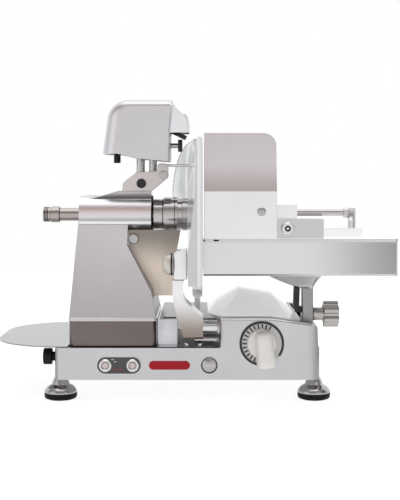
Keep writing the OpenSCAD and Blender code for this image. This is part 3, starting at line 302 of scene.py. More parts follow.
def surface(name, dark, lift, metallic, roughness, grain, relief,
            stretch=(1, 1, 1), fade=None, glow=0, gloss=0.5):
    """Finish with a cloudy tint and a grain that varies its roughness and relief.

    The lift is how much lighter the clouds get, for all three colours or for each. A fade names
    an axis, two places on it and the tint that the finish takes on towards the first place. A
    glow is painted light: emission that stands for light that thin walls pass on or that mirrors
    reflect.
    """
    light = [low + rise for low, rise in zip(rgb(dark), rgb(lift))]
    material = bpy.data.materials.new(name)
    material.use_nodes = True
    tree = material.node_tree
    shader = tree.nodes["Principled BSDF"]
    shader.inputs["Metallic"].default_value = metallic
    shader.inputs["Specular IOR Level"].default_value = gloss
    where = tree.nodes.new("ShaderNodeTexCoord").outputs["Object"]
    clouds = mapped(tree, noise_field(tree, where, CLOUD_SCALE), *NOISE_SPAN)
    tinted = mixed(tree, (*rgb(dark), 1), (*light, 1), clouds)
    if fade:
        axis, low, high, deep = fade
        reach = mapped(tree, place_on(tree, axis), low, high, ease="SMOOTHSTEP")
        tinted = mixed(tree, (*deep, 1), tinted, reach)
    tree.links.new(tinted, shader.inputs["Base Color"])
    if glow:
        tree.links.new(tinted, shader.inputs["Emission Color"])
        shader.inputs["Emission Strength"].default_value = glow
    fine = noise_field(tree, where, grain, stretch)
    spread = roughness * POLISH_SPREAD
    polish = mapped(tree, fine, *NOISE_SPAN, roughness - spread, roughness + spread)
    tree.links.new(polish, shader.inputs["Roughness"])
    if relief:
        bump = tree.nodes.new("ShaderNodeBump")
        bump.inputs["Strength"].default_value = relief
        bump.inputs["Distance"].default_value = RELIEF_DEPTH
        tree.links.new(fine, bump.inputs["Height"])
        tree.links.new(bump.outputs["Normal"], shader.inputs["Normal"])
    return material


HIGH_DECK = 100 * MM
HUMP_END_X, HUMP_END_Z = 180 * MM, 118 * MM
HUMP_FALL, CUT_FALL = 8 / 58, 1.233
HUMP_CORNER = 8 * MM
HUMP_ROUND = 4.4
LOW_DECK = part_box("tower_plinth")[0].z
base_lo, base_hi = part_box("base_casting")


def front_base_edge(edge, middle):
    """Long front edges of the carriage hump, up to its right corner."""
    on_front = abs(middle.y - base_lo.y) < 0.5 * MM and middle.x < HUMP_END_X
    return edge.is_convex and on_front and middle.z > LOW_DECK + 1 * MM and edge.calc_length() > 2 * MM


def hump_corner_raised(bm):
    """Lifts the cut right end of the hump to a round corner."""
    round_x = base_hi.x - 3 * MM - HUMP_CORNER
    for vert in bm.verts:
        past = vert.co.x - HUMP_END_X
        if past < 1 * MM or abs(vert.co.z - HUMP_END_Z + CUT_FALL * past) > 0.8 * MM:
            continue
        over = max(0, vert.co.x - round_x)
        drop = HUMP_CORNER - math.sqrt(max(0, HUMP_CORNER ** 2 - over ** 2))
        vert.co.z = HUMP_END_Z - HUMP_FALL * past - drop
    return bm


def is_high_deck(normal, middle):
    """Top of the hump and of the raised deck."""
    return normal.z > 0.95 and middle.z > HIGH_DECK


def is_highlight_edge(normal, middle):
    """Middle of the hump's round front edge, which gets a painted highlight."""
    return 0.6 < normal.z < 0.86 and normal.y < -0.2 and middle.z > HIGH_DECK


def is_side(normal, middle):
    """Walls that look left or right, below the low deck."""
    return abs(normal.x) > 0.5 and abs(normal.z) < 0.3 and middle.z < LOW_DECK


def is_step(normal, middle):
    """Front of the raised deck, behind the low deck."""
    return normal.y < -0.9 and middle.y > base_lo.y + 20 * MM and middle.x < 0


# The cast finish darkens over its last 20 mm towards the right end: painted shade. The tops of the hump and
# raised deck, and the side walls below the low deck, take darker copies as painted shade. The middle of the
# hump's front edge takes a glowing painted highlight, and the front of the raised deck takes a lighter
# glowing copy as painted light.
cast_metal = surface("cast_aluminium", (0.53, 0.53, 0.545), 0.04, 1, 0.30, 1400, 0.03,
                     fade=("X", base_hi.x + 4 * MM, base_hi.x - 20 * MM, (0.22, 0.215, 0.22)))
deck_shade_metal = surface("deck_painted_shade", 0.32, 0.04, 1, 0.34, 1400, 0.03)
edge_highlight_metal = surface("painted_highlight_edge", 0.74, 0.06, 1, 0.25, 1400, 0.02, glow=0.5)
side_shade_metal = surface("side_painted_shade", (0.33, 0.325, 0.33), 0.04, 1, 0.30, 1400, 0.03)
step_light_metal = surface("step_painted_light", (0.64, 0.645, 0.67), 0.04, 0.1, 0.45, 1400, 0.03, glow=0.5)
base_bm = hump_corner_raised(copied("base_casting"))
base_bm = rounded(base_bm, HUMP_ROUND, 6, front_base_edge, clamp=False)
base_bm.normal_update()
for index, test in enumerate((is_high_deck, is_highlight_edge, is_side, is_step), 1):
    set_apart(base_bm, index, test)
base_obj = shown_as("base_casting", base_bm, "base_shell", cast_metal)
finishes(base_obj, deck_shade_metal, edge_highlight_metal, side_shade_metal, step_light_metal)

# Bottom plate: flat sheet that closes the casting from below, held by the feet.
# It is seldom seen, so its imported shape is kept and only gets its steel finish.
plain_steel = surface("plain_steel", (0.50, 0.50, 0.52), 0.07, 1, 0.30, 900, 0.06)


def dressed(material, *nodes):
    """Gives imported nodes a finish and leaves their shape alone."""
    for node in nodes:
        mesh = frame["nodes"][node].data
        mesh.materials.clear()
        mesh.materials.append(material)


dressed(plain_steel, "bottom_plate", "carriage_rails")

# Feet: four round rubber pads under chromed two-step bells, screwed up into
# the base. They carry the machine and can be turned to level it.
FOOT_R = 25
chrome = surface("chrome", (0.66, 0.66, 0.67), 0.06, 1, 0.10, 300, 0.01)
rubber = surface("rubber", 0.006, 0.006, 0, 0.62, 1800, 0.15, gloss=0.15)
pad_lo, pad_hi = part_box("foot_pads")
foot_x = (pad_lo.x + FOOT_R * MM, pad_hi.x - FOOT_R * MM)
foot_y = (pad_lo.y + FOOT_R * MM, pad_hi.y - FOOT_R * MM)
PAD_PROFILE = [(0, 0), (0, 19), (1.5, 23), (3.5, 24.6), (8.6, 25), (9.6, 24.4), (10, 22.5), (10, 0)]
BELL_PROFILE = [
    (9.6, 0), (9.6, 24.2), (10.4, 24.9), (13, 24.6), (16.4, 22.6), (19.6, 19), (21.6, 15.2),
    (22.2, 14), (23, 13.6), (27, 12.4), (31, 10.6), (33, 9.6), (33, 0),
]


def turned(bm, profile, place, axis, steps=64):
    """Spins a profile of (along, radius) millimetres round an axis through a place."""
    axis = Vector(axis)
    out = axis.orthogonal().normalized()
    rim = [bm.verts.new(Vector(place) + axis * (a * MM) + out * (r * MM)) for a, r in profile]
    edges = [bm.edges.new(pair) for pair in zip(rim, rim[1:])]
    bmesh.ops.spin(bm, geom=rim + edges, cent=place, axis=axis, angle=2 * math.pi,
                   steps=steps, use_merge=True)
    bmesh.ops.remove_doubles(bm, verts=bm.verts, dist=1e-6)
    return bm


def four_feet(profile):
    """One profile turned at each of the four feet."""
    bm = bmesh.new()
    for x in foot_x:
        for y in foot_y:
            turned(bm, profile, (x, y, 0), (0, 0, 1))
    return bm


shown_as("foot_pads", four_feet(PAD_PROFILE), "rubber_pads", rubber)
# The bells take a darker copy of the chrome: painted shade of the dark reflections low under the machine.
foot_chrome = surface("foot_chrome", (0.40, 0.39, 0.385), 0.07, 1, 0.08, 300, 0)
shown_as("foot_bells", four_feet(BELL_PROFILE), "chromed_bells", foot_chrome, smooth=50)

# Control panel: a dark film in a thin bright frame on the base's front, with
# two push buttons in turned bezels, three small red lamps and pale marks.
film = surface("panel_film", (0.050, 0.050, 0.054), 0.016, 0, 0.45, 600, 0.03)
bright_trim = surface("bright_trim", (0.66, 0.66, 0.67), 0.06, 1, 0.24, 500, 0.02)
button_face = surface("button_face", (0.56, 0.50, 0.48), (0.08, 0.07, 0.07), 0.2, 0.38, 700, 0.03)
lamp_red = surface("lamp_red", (0.55, 0.012, 0.012), (0.15, 0.008, 0.008), 0, 0.25, 300, 0.01)
mark_paint = surface("mark_paint", (0.62, 0.62, 0.60), 0.08, 0, 0.5, 500, 0.02)
panel_lo, panel_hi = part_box("control_panel")


def slab(bm, outline, depth):
    """Solid from a closed outline of points, pushed along depth."""
    face = bm.faces.new([bm.verts.new(point) for point in outline])
    grown = bmesh.ops.extrude_face_region(bm, geom=[face])["geom"]
    moved = [item for item in grown if isinstance(item, bmesh.types.BMVert)]
    bmesh.ops.translate(bm, vec=depth, verts=moved)


def sweep(start, end, steps):
    """Cosine and sine at even steps from one angle to another, in degrees."""
    angles = [math.radians(start + (end - start) * i / steps) for i in range(steps + 1)]
    return [(math.cos(a), math.sin(a)) for a in angles]


def arc(middle, radius, start, end, y, steps=16):
    """Points of an arc seen from the front, at a depth."""
    return [(middle.x + radius * c, y, middle.z + radius * s) for c, s in sweep(start, end, steps)]


def block(bm, lo, hi):
    """Box between two corners."""
    verts = bmesh.ops.create_cube(bm, size=1)["verts"]
    bmesh.ops.scale(bm, vec=Vector(hi) - Vector(lo), verts=verts)
    bmesh.ops.translate(bm, vec=(Vector(lo) + Vector(hi)) / 2, verts=verts)


def added_to(node, bm, name, material, smooth=40):
    """Further piece that shares a CAD node's body."""
    return piece(bm, name, BODY_OF[node], material, smooth=smooth)


def centre(node):
    """Middle of a CAD node's box."""
    lo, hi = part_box(node)
    return (lo + hi) / 2


def turned_cap(node, profile, name, material, smooth=40):
    """Turned cap that faces the operator, in place of a CAD node."""
    middle = centre(node)
    cap = turned(bmesh.new(), profile, (middle.x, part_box(node)[1].y, middle.z), (0, -1, 0))
    shown_as(node, cap, name, material, smooth)


softened("control_panel", 0.5, film)
trim_r = (panel_hi.z - panel_lo.z) / 2 + 1.0 * MM
trim_y = panel_lo.y + 0.7 * MM
left_end = Vector((panel_lo.x + trim_r - 1.0 * MM, 0, (panel_lo.z + panel_hi.z) / 2))
right_end = Vector((panel_hi.x - trim_r + 1.0 * MM, 0, left_end.z))
trim = bmesh.new()
trim_outline = arc(left_end, trim_r, 90, 270, trim_y) + arc(right_end, trim_r, -90, 90, trim_y)
slab(trim, trim_outline, (0, panel_hi.y - trim_y, 0))
added_to("control_panel", rounded(trim, 0.4), "panel_trim", bright_trim)

BEZEL_PROFILE = [(0, 5.6), (0, 9.6), (1.2, 9.6), (2.5, 8.4), (2.5, 6.6), (1.4, 5.6), (0, 5.6)]
CAP_PROFILE = [(0, 0), (0, 5.3), (5.6, 5.3), (6.6, 4.5), (7, 2.4), (7, 0)]
bezels = bmesh.new()
for node in ("start_button", "stop_button"):
    button_mid = centre(node)
    turned(bezels, BEZEL_PROFILE, (button_mid.x, panel_lo.y, button_mid.z), (0, -1, 0))
    turned_cap(node, CAP_PROFILE, node + "_cap", button_face)
added_to("control_panel", bezels, "button_bezels", bright_trim)

LAMP_PROFILE = [(0, 0), (0, 0.9), (0.5, 0.7), (0.8, 0)]
LAMP_X, LAMP_PITCH, LAMP_DROP = 19.0, 4.4, 6 * MM
lamps = bmesh.new()
for step in (-1, 0, 1):
    lamp_place = (left_end.x + (LAMP_X + LAMP_PITCH * step) * MM, panel_lo.y, left_end.z - LAMP_DROP)
    turned(lamps, LAMP_PROFILE, lamp_place, (0, -1, 0), steps=16)
added_to("control_panel", lamps, "panel_lamps", lamp_red)
marks = bmesh.new()
for row in (0, 1):
    mark_x = left_end.x + (9 + 3.6 * row) * MM
    mark_z = left_end.z + (8.4 - 3.0 * row) * MM
    block(marks, (mark_x, panel_lo.y - 0.1 * MM, mark_z), (mark_x + 4 * MM, panel_lo.y, mark_z + 0.9 * MM))
added_to("control_panel", marks, "panel_marks", mark_paint)

# Front plate and plug: a plain red enamelled plate glued on the base, and a
# domed metal plug that closes the cross bore of the gauge drive.
red_enamel = surface("red_enamel", (0.34, 0.012, 0.020), (0.08, 0.004, 0.006), 0, 0.28, 400, 0.02, gloss=0.12)
softened("badge_plate", 0.5, red_enamel)
satin_metal = surface("satin_metal", (0.44, 0.435, 0.43), 0.06, 1, 0.24, 700, 0.02)
PLUG_PROFILE = [(0, 0), (0, 12.5), (1.6, 12.5), (3.4, 11.6), (5, 9.4), (6.2, 6.2), (6.8, 3), (7, 0)]
turned_cap("side_plug", PLUG_PROFILE, "side_plug_dome", satin_metal, smooth=60)

# Cord gland: ribbed black moulding that grips the mains lead at the back.
# It is pressed into the base and tapers outwards.
black_plastic = surface("black_plastic", 0.006, 0.006, 0, 0.42, 1200, 0.08, gloss=0.2)
gland_mid = centre("cord_gland")
GLAND_RIBS, RIB_PITCH, RIB_TAPER = 5, 2.4, 0.55
RIB_SHAPE = [(0, 10.8), (0.4, 9.2), (1.6, 9.0), (2.0, 10.3)]
gland_profile = [(0, 0), (0, 11)]
for rib in range(GLAND_RIBS):
    along = 1.6 + rib * RIB_PITCH
    gland_profile += [(along + step, radius - rib * RIB_TAPER) for step, radius in RIB_SHAPE]
gland_profile += [(14, 7.8), (14, 4.2), (11, 4), (11, 0)]
gland = turned(bmesh.new(), gland_profile, (gland_mid.x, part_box("cord_gland")[0].y, gland_mid.z), (0, 1, 0))
shown_as("cord_gland", gland, "cord_gland_ribs", black_plastic)

# Tower plinth: a brushed brown-grey steel skirt that stands on the low deck over a thin
# black gasket, which is also a painted shadow line, and hides the tower's screws.
plinth_steel = surface("plinth_steel", (0.155, 0.128, 0.124), (0.03, 0.027, 0.026), 1, 0.28, 1, 0,
                       (20, 20, 900))
plinth_lo, plinth_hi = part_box("tower_plinth")
softened("tower_plinth", 1.0, plinth_steel)


def soft_rect(x0, x1, y0, y1, radius, z, steps=6):
    """Ring of points round a rectangle with round corners, at a height."""
    points = []
    for cx, cy, start in ((x1 - radius, y1 - radius, 0), (x0 + radius, y1 - radius, 90),
                          (x0 + radius, y0 + radius, 180), (x1 - radius, y0 + radius, 270)):
        points += [(cx + radius * c, cy + radius * s, z) for c, s in sweep(start, start + 90, steps)]
    return points


def plinth_band(grow, z, height):
    """Band round the plinth that stands out by grow, in millimetres."""
    bm = bmesh.new()
    ring = soft_rect(plinth_lo.x - grow * MM, plinth_hi.x + grow * MM, plinth_lo.y - grow * MM,
                     plinth_hi.y + grow * MM, (6 + grow) * MM, z)
    slab(bm, ring, (0, 0, height * MM))
    return bm


GASKET_H = 1.8
DECK_STEP_Y = base_lo.y + 40 * MM
hump_wall_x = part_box("gauge_rod_bush")[0].x
# The black band round the plinth is partly a gasket and partly the painted shadow line of the gap under it.
# The thin black strip on the low deck's front is only a painted shadow line.
gasket = plinth_band(0.7, plinth_lo.z + 0.1 * MM, GASKET_H)
block(gasket, (plinth_hi.x, base_lo.y + 2 * MM, plinth_lo.z + 0.1 * MM),
      (hump_wall_x, base_lo.y + 4 * MM, plinth_lo.z + 0.9 * MM))
added_to("foot_pads", gasket, "gasket_and_shadow_line", rubber)

STEP_GAP = 1.2
# Filler strip beside the plinth in the lighter, glowing step finish: painted light.
step_fill = bmesh.new()
block(step_fill, (plinth_hi.x + STEP_GAP * MM, DECK_STEP_Y, plinth_lo.z),
      (plinth_hi.x + 4 * MM, base_hi.y - 5 * MM, plinth_lo.z + 38 * MM))
added_to("base_casting", rounded(step_fill, 0.8), "step_edge", step_light_metal)

# Tower housing: a leaning stainless shell that carries the round shaft barrel
# and the sharpener's saddle. It is welded, ground and screwed on the plinth.
tower_steel = surface("tower_stainless", (0.575, 0.565, 0.57), 0.025, 1, 0.28, 1, 0, (700, 2, 6))
tower_lo, tower_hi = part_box("tower_housing")


def outer_tower_edge(edge, middle):
    """Outer edges of the leaning walls, away from the mouths and the inside."""
    below_saddle = middle.z < tower_hi.z - 30 * MM
    return edge.is_convex and below_saddle and middle.z > tower_lo.z + 1 * MM


def saddle_edge(edge, middle):
    """Long upper edges of the saddle, at its front and back."""
    high = middle.z > tower_hi.z - 18 * MM
    long = abs(edge.verts[0].co.x - edge.verts[1].co.x) > 12 * MM
    return edge.is_convex and high and long


tower_bm = rounded(copied("tower_housing"), 2.5, 4, outer_tower_edge)
tower_bm = rounded(tower_bm, 5.0, 5, saddle_edge)
tower_bm.normal_update()
shaft_mid = centre("blade_shaft")
BARREL_R = 31 * MM


def on_barrel(normal, middle):
    """Round outer wall of the shaft barrel."""
    reach = math.hypot(middle.y - shaft_mid.y, middle.z - shaft_mid.z)
    return abs(normal.x) < 0.2 and abs(reach - BARREL_R) < 0.6 * MM


# The barrel's round wall takes painted reflection bands. The saddle's front above the barrel takes a darker
# finish that darkens further down towards the barrel, as painted shade. The tower's right wall below the
# barrel takes a near-black finish as painted shade.
set_apart(tower_bm, 3, on_barrel)
set_apart(tower_bm, 1, lambda normal, middle: normal.y < -0.9 and middle.z > shaft_mid.z + 20 * MM)
set_apart(tower_bm, 2, lambda normal, middle: normal.x > 0.6 and middle.z < shaft_mid.z - 40 * MM)
tower_obj = shown_as("tower_housing", tower_bm, "tower_shell", tower_steel)
saddle_shade_steel = surface("saddle_painted_shade", (0.50, 0.49, 0.50), 0.06, 1, 0.26, 1, 0, (14, 700, 700),
                       fade=("Z", tower_hi.z - 11 * MM, tower_hi.z, (0.15, 0.145, 0.145)))
right_wall_shade_steel = surface("right_wall_painted_shade", (0.12, 0.115, 0.115), 0.03, 1, 0.30, 1, 0, (700, 700, 14))
barrel_reflection_steel = surface("barrel_painted_reflections", 0.98, 0.02, 1, 0.28, 1, 0, (14, 700, 700))
BARREL_REFLECTION_BANDS = [
    (0.00, 0.25), (0.25, (0.55, 0.54, 0.54)), (0.285, 0.95),
    (0.32, (0.80, 0.79, 0.79)), (0.355, (0.42, 0.40, 0.40)), (0.39, (0.48, 0.46, 0.46)),
    (0.45, (0.67, 0.67, 0.68)), (0.51, (0.68, 0.67, 0.68)), (0.57, (0.80, 0.71, 0.69)),
    (0.66, (0.84, 0.73, 0.71)), (0.75, (0.72, 0.72, 0.73)), (1.00, (0.74, 0.74, 0.75)),
]


def banded(material, low, high, bands):
    """Tints a finish in soft level bands between two heights, as painted reflections."""
    tree = material.node_tree
    shader = tree.nodes["Principled BSDF"]
    plain = shader.inputs["Base Color"].links[0].from_socket
    tint = ramped(tree, mapped(tree, place_on(tree, "Z"), low, high), bands)
    tree.links.new(mixed(tree, plain, tint, 1, "MULTIPLY"), shader.inputs["Base Color"])


banded(barrel_reflection_steel, shaft_mid.z - BARREL_R, shaft_mid.z + BARREL_R, BARREL_REFLECTION_BANDS)
finishes(tower_obj, saddle_shade_steel, right_wall_shade_steel, barrel_reflection_steel)
ledge = plinth_band(1.0, plinth_hi.z - 1.5 * MM, 5.5)
added_to("tower_housing", rounded(ledge, 1.8, 4), "tower_ledge", tower_steel)

# Drive in the tower: motor, pulleys, belt and bearings. They are hidden, so
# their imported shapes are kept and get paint, steel and rubber finishes.
motor_paint = surface("motor_paint", (0.10, 0.11, 0.12), 0.03, 0, 0.45, 500, 0.1)
dressed(motor_paint, "motor_body")
dressed(plain_steel, "motor_shaft", "motor_pulley", "driven_pulley", "shaft_bearings")
dressed(rubber, "drive_belt")
softened("shaft_seal", 0.3, rubber)

# Blade shaft: a polished hollow nose with a collar and hub flange. It runs in
# the barrel's bearings, and two dark grooves show where its rings meet.
dark_chrome = surface("dark_chrome", (0.46, 0.44, 0.44), 0.07, 1, 0.16, 300, 0.01)
softened("blade_shaft", 0.9, dark_chrome)
shaft_lo, shaft_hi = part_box("blade_shaft")
COLLAR_R = (shaft_hi.z - shaft_lo.z) / 2 / MM
HUB_R = 26
GROOVES = ((40.5, 0), (21.0, 2.85))
HUB_PROFILE = [
    (-9.2, HUB_R - 3), (-9.2, HUB_R - 0.6), (-8.4, HUB_R + 0.3), (-0.8, HUB_R + 0.3), (0, HUB_R - 0.6),
    (0, HUB_R - 3), (-9.2, HUB_R - 3),
]


def ring_section(start, end, inner, outer):
    """Closed profile of a plain ring."""
    return [(start, inner), (start, outer), (end, outer), (end, inner), (start, inner)]


grooves = bmesh.new()
for back, lift in GROOVES:
    groove = ring_section(0, 1.1, COLLAR_R - 4 + lift, COLLAR_R - 2.7 + lift)
    turned(grooves, groove, (shaft_hi.x - back * MM, shaft_mid.y, shaft_mid.z), (1, 0, 0))
added_to("blade_shaft", grooves, "shaft_grooves", rubber)
hub = turned(bmesh.new(), HUB_PROFILE, (shaft_hi.x, shaft_mid.y, shaft_mid.z), (1, 0, 0))
added_to("blade_shaft", hub, "hub_ring", satin_metal)

# Blade: a dished round knife of hardened steel, bolted to the hub flange and
# covered at its middle by a flat stainless plate on the tie rod.
# The blade steel glows a little: painted light for the bright reflections of the blade's face and its cover.
blade_steel = surface("blade_steel", (0.74, 0.74, 0.75), 0.06, 1, 0.16, 260, 0, glow=0.24)
softened("blade", 0.2, blade_steel, segments=2)
dressed(plain_steel, "blade_screws")
softened("blade_cover", 0.6, blade_steel)

# Tie rod: a chromed sleeve with a collar and a ribbed knob at its left end.
# It runs through the hollow shaft and draws the blade cover on.
tie_chrome = surface("tie_rod_chrome", (0.40, 0.365, 0.35), (0.07, 0.065, 0.06), 1, 0.08, 300, 0)
softened("tie_rod", 0.8, tie_chrome)
tie_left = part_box("tie_rod")[0].x
tie_mid = centre("tie_rod")
TIE_RINGS = ((2.2, 12.1), (4.6, 12.1), (7.0, 12.1), (12.6, 12.4), (25.6, 11.2))
tie_rings = bmesh.new()
for along, radius in TIE_RINGS:
    band = ring_section(0, 1.2, radius - 2, radius)
    turned(tie_rings, band, (tie_left + along * MM, tie_mid.y, tie_mid.z), (1, 0, 0))
added_to("tie_rod", tie_rings, "tie_rod_rings", rubber)

# Ring guard and slice deflector: a polished ring round the blade's edge on a leg, and a
# steel flag that lifts the slice off, on one socket bolt. The ring glows as painted light; the
# flag is tinted beige as a painted warm reflection and darkens towards its top as painted
# shade under the barrel.
guard_steel = surface("guard_polished", (0.74, 0.74, 0.75), 0.05, 1, 0.14, 300, 0.01)
# The ring guard's finish glows: painted light.
bowl_steel = surface("bowl_mirror", (0.62, 0.63, 0.63), 0.24, 0.75, 0.12, 1, 0, (60, 60, 6), glow=0.26)
softened("ring_guard", 0.7, bowl_steel)
flag_lo, flag_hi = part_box("slice_deflector")
FLAG_RISE = 8 * MM
# Flag: beige as a painted warm reflection, dark brown grey towards the top as painted shade under the barrel.
flag_steel = surface("flag_steel", (0.25, 0.222, 0.20), (0.04, 0.038, 0.035), 0.85, 0.34, 1, 0,
                     (500, 500, 20),
                     fade=("Z", flag_lo.z + 42 * MM, flag_hi.z + 4 * MM, (0.80, 0.70, 0.60)))
flag_bm = copied("slice_deflector")
for vert in flag_bm.verts:
    if vert.co.z > flag_hi.z - 1 * MM:
        vert.co.z += FLAG_RISE
shown_as("slice_deflector", rounded(flag_bm, 0.4), "slice_flag", flag_steel)
bolt_lo, bolt_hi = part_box("deflector_bolt")
bolt_len = (bolt_hi.y - bolt_lo.y) / MM
BOLT_PROFILE = [
    (0, 0), (0, 3), (bolt_len - 7.5, 3), (bolt_len - 7.5, 8), (bolt_len - 1.6, 8),
    (bolt_len - 0.4, 7.2), (bolt_len, 6), (bolt_len, 3.4), (bolt_len - 4, 3.2), (bolt_len - 4, 0),
]
turned_cap("deflector_bolt", BOLT_PROFILE, "deflector_bolt_cap", satin_metal, smooth=35)

# Thickness dial: a satin scale with a black open ring and cut marks on the
# base's front, and an off-white moulded knob with a skirt on the cam's shaft.
scale_metal = surface("scale_metal", (0.42, 0.415, 0.405), (0.06, 0.06, 0.055), 0.8, 0.30, 1, 0.01,
                      (30, 30, 700))
ring_black = surface("ring_black", 0.012, 0.008, 0, 0.4, 600, 0.03)
pale_plastic = surface("pale_plastic", (0.76, 0.75, 0.72), 0.06, 0, 0.36, 900, 0.03)
dial_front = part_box("dial_scale")[0].y
dial_mid = centre("dial_scale")
RING_OUT, RING_IN = 33.6, 30.0
RING_START, RING_END = 257.5, -35.5
TICKS = 15
TICK_START, TICK_END = 246, 62
TICK_OUT, TICK_LONG, TICK_SHORT = 29.3, 22.0, 23.5
TICK_HALF = math.degrees(1.15 / 27)
softened("dial_scale", 0.4, scale_metal)
ring = bmesh.new()
ring_face = (arc(dial_mid, RING_OUT * MM, RING_START, RING_END, dial_front, 72)
             + arc(dial_mid, RING_IN * MM, RING_END, RING_START, dial_front, 72))
slab(ring, ring_face, (0, -1.0 * MM, 0))
added_to("dial_scale", rounded(ring, 0.3), "dial_ring", ring_black)
ticks = bmesh.new()
for tick in range(TICKS):
    angle = TICK_START + (TICK_END - TICK_START) * tick / (TICKS - 1)
    inner = TICK_LONG if tick % 2 else TICK_SHORT
    first, last = angle - TICK_HALF, angle + TICK_HALF
    corners = (arc(dial_mid, TICK_OUT * MM, first, last, dial_front, 1)
               + arc(dial_mid, inner * MM, last, first, dial_front, 1))
    slab(ticks, corners, (0, -0.25 * MM, 0))
added_to("dial_scale", ticks, "dial_ticks", ring_black)

knob_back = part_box("dial_knob")[1].y
GRIP_LEN, GRIP_H = 54, 34
GRIP_TILT = math.radians(7)
GRIP_SHIFT = Vector((4.0, 0, -7.0)) * MM
SKIRT_PROFILE = [(0, 0), (0, 22), (2.6, 21.6), (4.4, 20.4), (5, 18.6), (5, 0)]
STATIONS, ROUND = 40, 28
SIDE_POWER, TOP_POWER = 0.55, 0.62
knob = bmesh.new()
turned(knob, SKIRT_PROFILE, (dial_mid.x, knob_back, dial_mid.z), (0, -1, 0))
grip_turn = Matrix.Rotation(-GRIP_TILT, 4, "Y")
grip_foot = Vector((dial_mid.x, knob_back - 4.5 * MM, dial_mid.z)) + GRIP_SHIFT


def lofted(bm, rings, closed=True):
    """Skin with closed ends over a stack of rings of equal length, or of open arcs."""
    loops = [[bm.verts.new(point) for point in ring] for ring in rings]
    for low, high in zip(loops, loops[1:]):
        for i in range(len(low) if closed else len(low) - 1):
            j = (i + 1) % len(low)
            bm.faces.new((low[i], low[j], high[j], high[i]))
    for loop in (loops[0], loops[-1]):
        bm.faces.new(loop)


grip_arcs = []
for station in range(STATIONS + 1):
    t = -1 + 2 * station / STATIONS
    end = (1 - min(abs(t), 0.999) ** 5) ** 0.2
    half_w = (15.2 - 1.4 * t - 1.6 * (1 - t * t)) * end
    height = (GRIP_H - 1.5 + 1.0 * t * t - 3.0 * t) * end
    grip_arc = []
    for c, s in sweep(0, 180, ROUND):
        across = math.copysign(abs(c) ** SIDE_POWER, c)
        spot = Vector((half_w * across, -height * abs(s) ** TOP_POWER, GRIP_LEN / 2 * t)) * MM
        grip_arc.append(grip_foot + grip_turn @ spot)
    grip_arcs.append(grip_arc)
lofted(knob, grip_arcs, closed=False)
shown_as("dial_knob", knob, "dial_knob_grip", pale_plastic, smooth=60)
dressed(plain_steel, "dial_shaft", "thickness_cam")

# Gauge plate: a bent aluminium plate with a rolled front edge that sets the
# slice's thickness. It is screwed to the gauge arm's block.
gauge_metal = surface("gauge_aluminium", (0.56, 0.56, 0.575), 0.05, 1, 0.24, 1, 0, (500, 500, 16))
gauge_lo, gauge_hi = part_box("gauge_plate")


def gauge_bend(edge, middle):
    """The long upright outer edge of the bend, at the front on the food's side."""
    upright = abs(edge.verts[0].co.z - edge.verts[1].co.z) > 60 * MM
    corner = middle.x > gauge_hi.x - 0.5 * MM and middle.y < gauge_lo.y + 0.5 * MM
    return upright and corner


def outward(edge, middle):
    """Any edge that sticks out."""
    return edge.is_convex


gauge_bm = rounded(copied("gauge_plate"), 3.6, 5, gauge_bend)
gauge_bm = rounded(gauge_bm, 0.5, 2, outward)
shown_as("gauge_plate", gauge_bm, "gauge_plate_bent", gauge_metal)
ROLL_R = 3.8
roll_profile = [(0, 0), (0, ROLL_R - 1), (1, ROLL_R)]
roll_len = (gauge_hi.z - gauge_lo.z) / MM + 6
roll_profile += [(roll_len - 3, ROLL_R), (roll_len - 1, ROLL_R - 1), (roll_len, 0)]
roll_foot = (gauge_hi.x - (ROLL_R + 0.3) * MM, gauge_lo.y + 1.2 * MM, gauge_lo.z)
roll = turned(bmesh.new(), roll_profile, roll_foot, (0, 0, 1), 32)
# The rolled edge takes a light, hardly metallic finish that stands for the bright line along the bend:
# painted highlight.
roll_metal = surface("rolled_edge", (0.80, 0.80, 0.81), 0.06, 0.2, 0.3, 1, 0, (500, 500, 16))
added_to("gauge_plate", roll, "gauge_rolled_edge", roll_metal)

# Gauge arm: an S-shaped casting that carries the plate's block on the gauge
# rod. A domed clamp knob screws into the block from the left.
arm_lo, arm_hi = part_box("gauge_arm")
BLOCK_DEEP, BLOCK_H, BLOCK_W = 31 * MM, 47 * MM, 20 * MM
block_foot = arm_hi.z - BLOCK_H
ARM_LEFT = [(0, 0), (0, -20), (2, -35), (8, -58), (14.5, -79), (16, -84.5)]
ARM_RIGHT = [(45.5, -84.5), (45.5, -55), (38, -49), (30, -41.5), (21.5, -33), (16, -23.5), (15.5, -13),
             (17.5, 0)]
# The arm darkens to a brown grey towards its foot, where it goes down into the shaded recess: painted shade.
arm_metal = surface("arm_casting", (0.78, 0.78, 0.79), 0.06, 1, 0.24, 1100, 0.02,
                    fade=("Z", arm_lo.z, arm_lo.z + 66 * MM, (0.29, 0.23, 0.205)))


def flowing(points, steps=6):
    """Smooth path through control points (a Catmull-Rom curve)."""
    path = []
    for i in range(len(points) - 1):
        before = Vector(points[max(i - 1, 0)])
        start, end = Vector(points[i]), Vector(points[i + 1])
        after = Vector(points[min(i + 2, len(points) - 1)])
        for step in range(steps):
            t = step / steps
            bend = 2 * before - 5 * start + 4 * end - after
            turn = 3 * start - before - 3 * end + after
            path.append(0.5 * (2 * start + (end - before) * t + bend * t * t + turn * t ** 3))
    path.append(Vector(points[-1]))
    return path


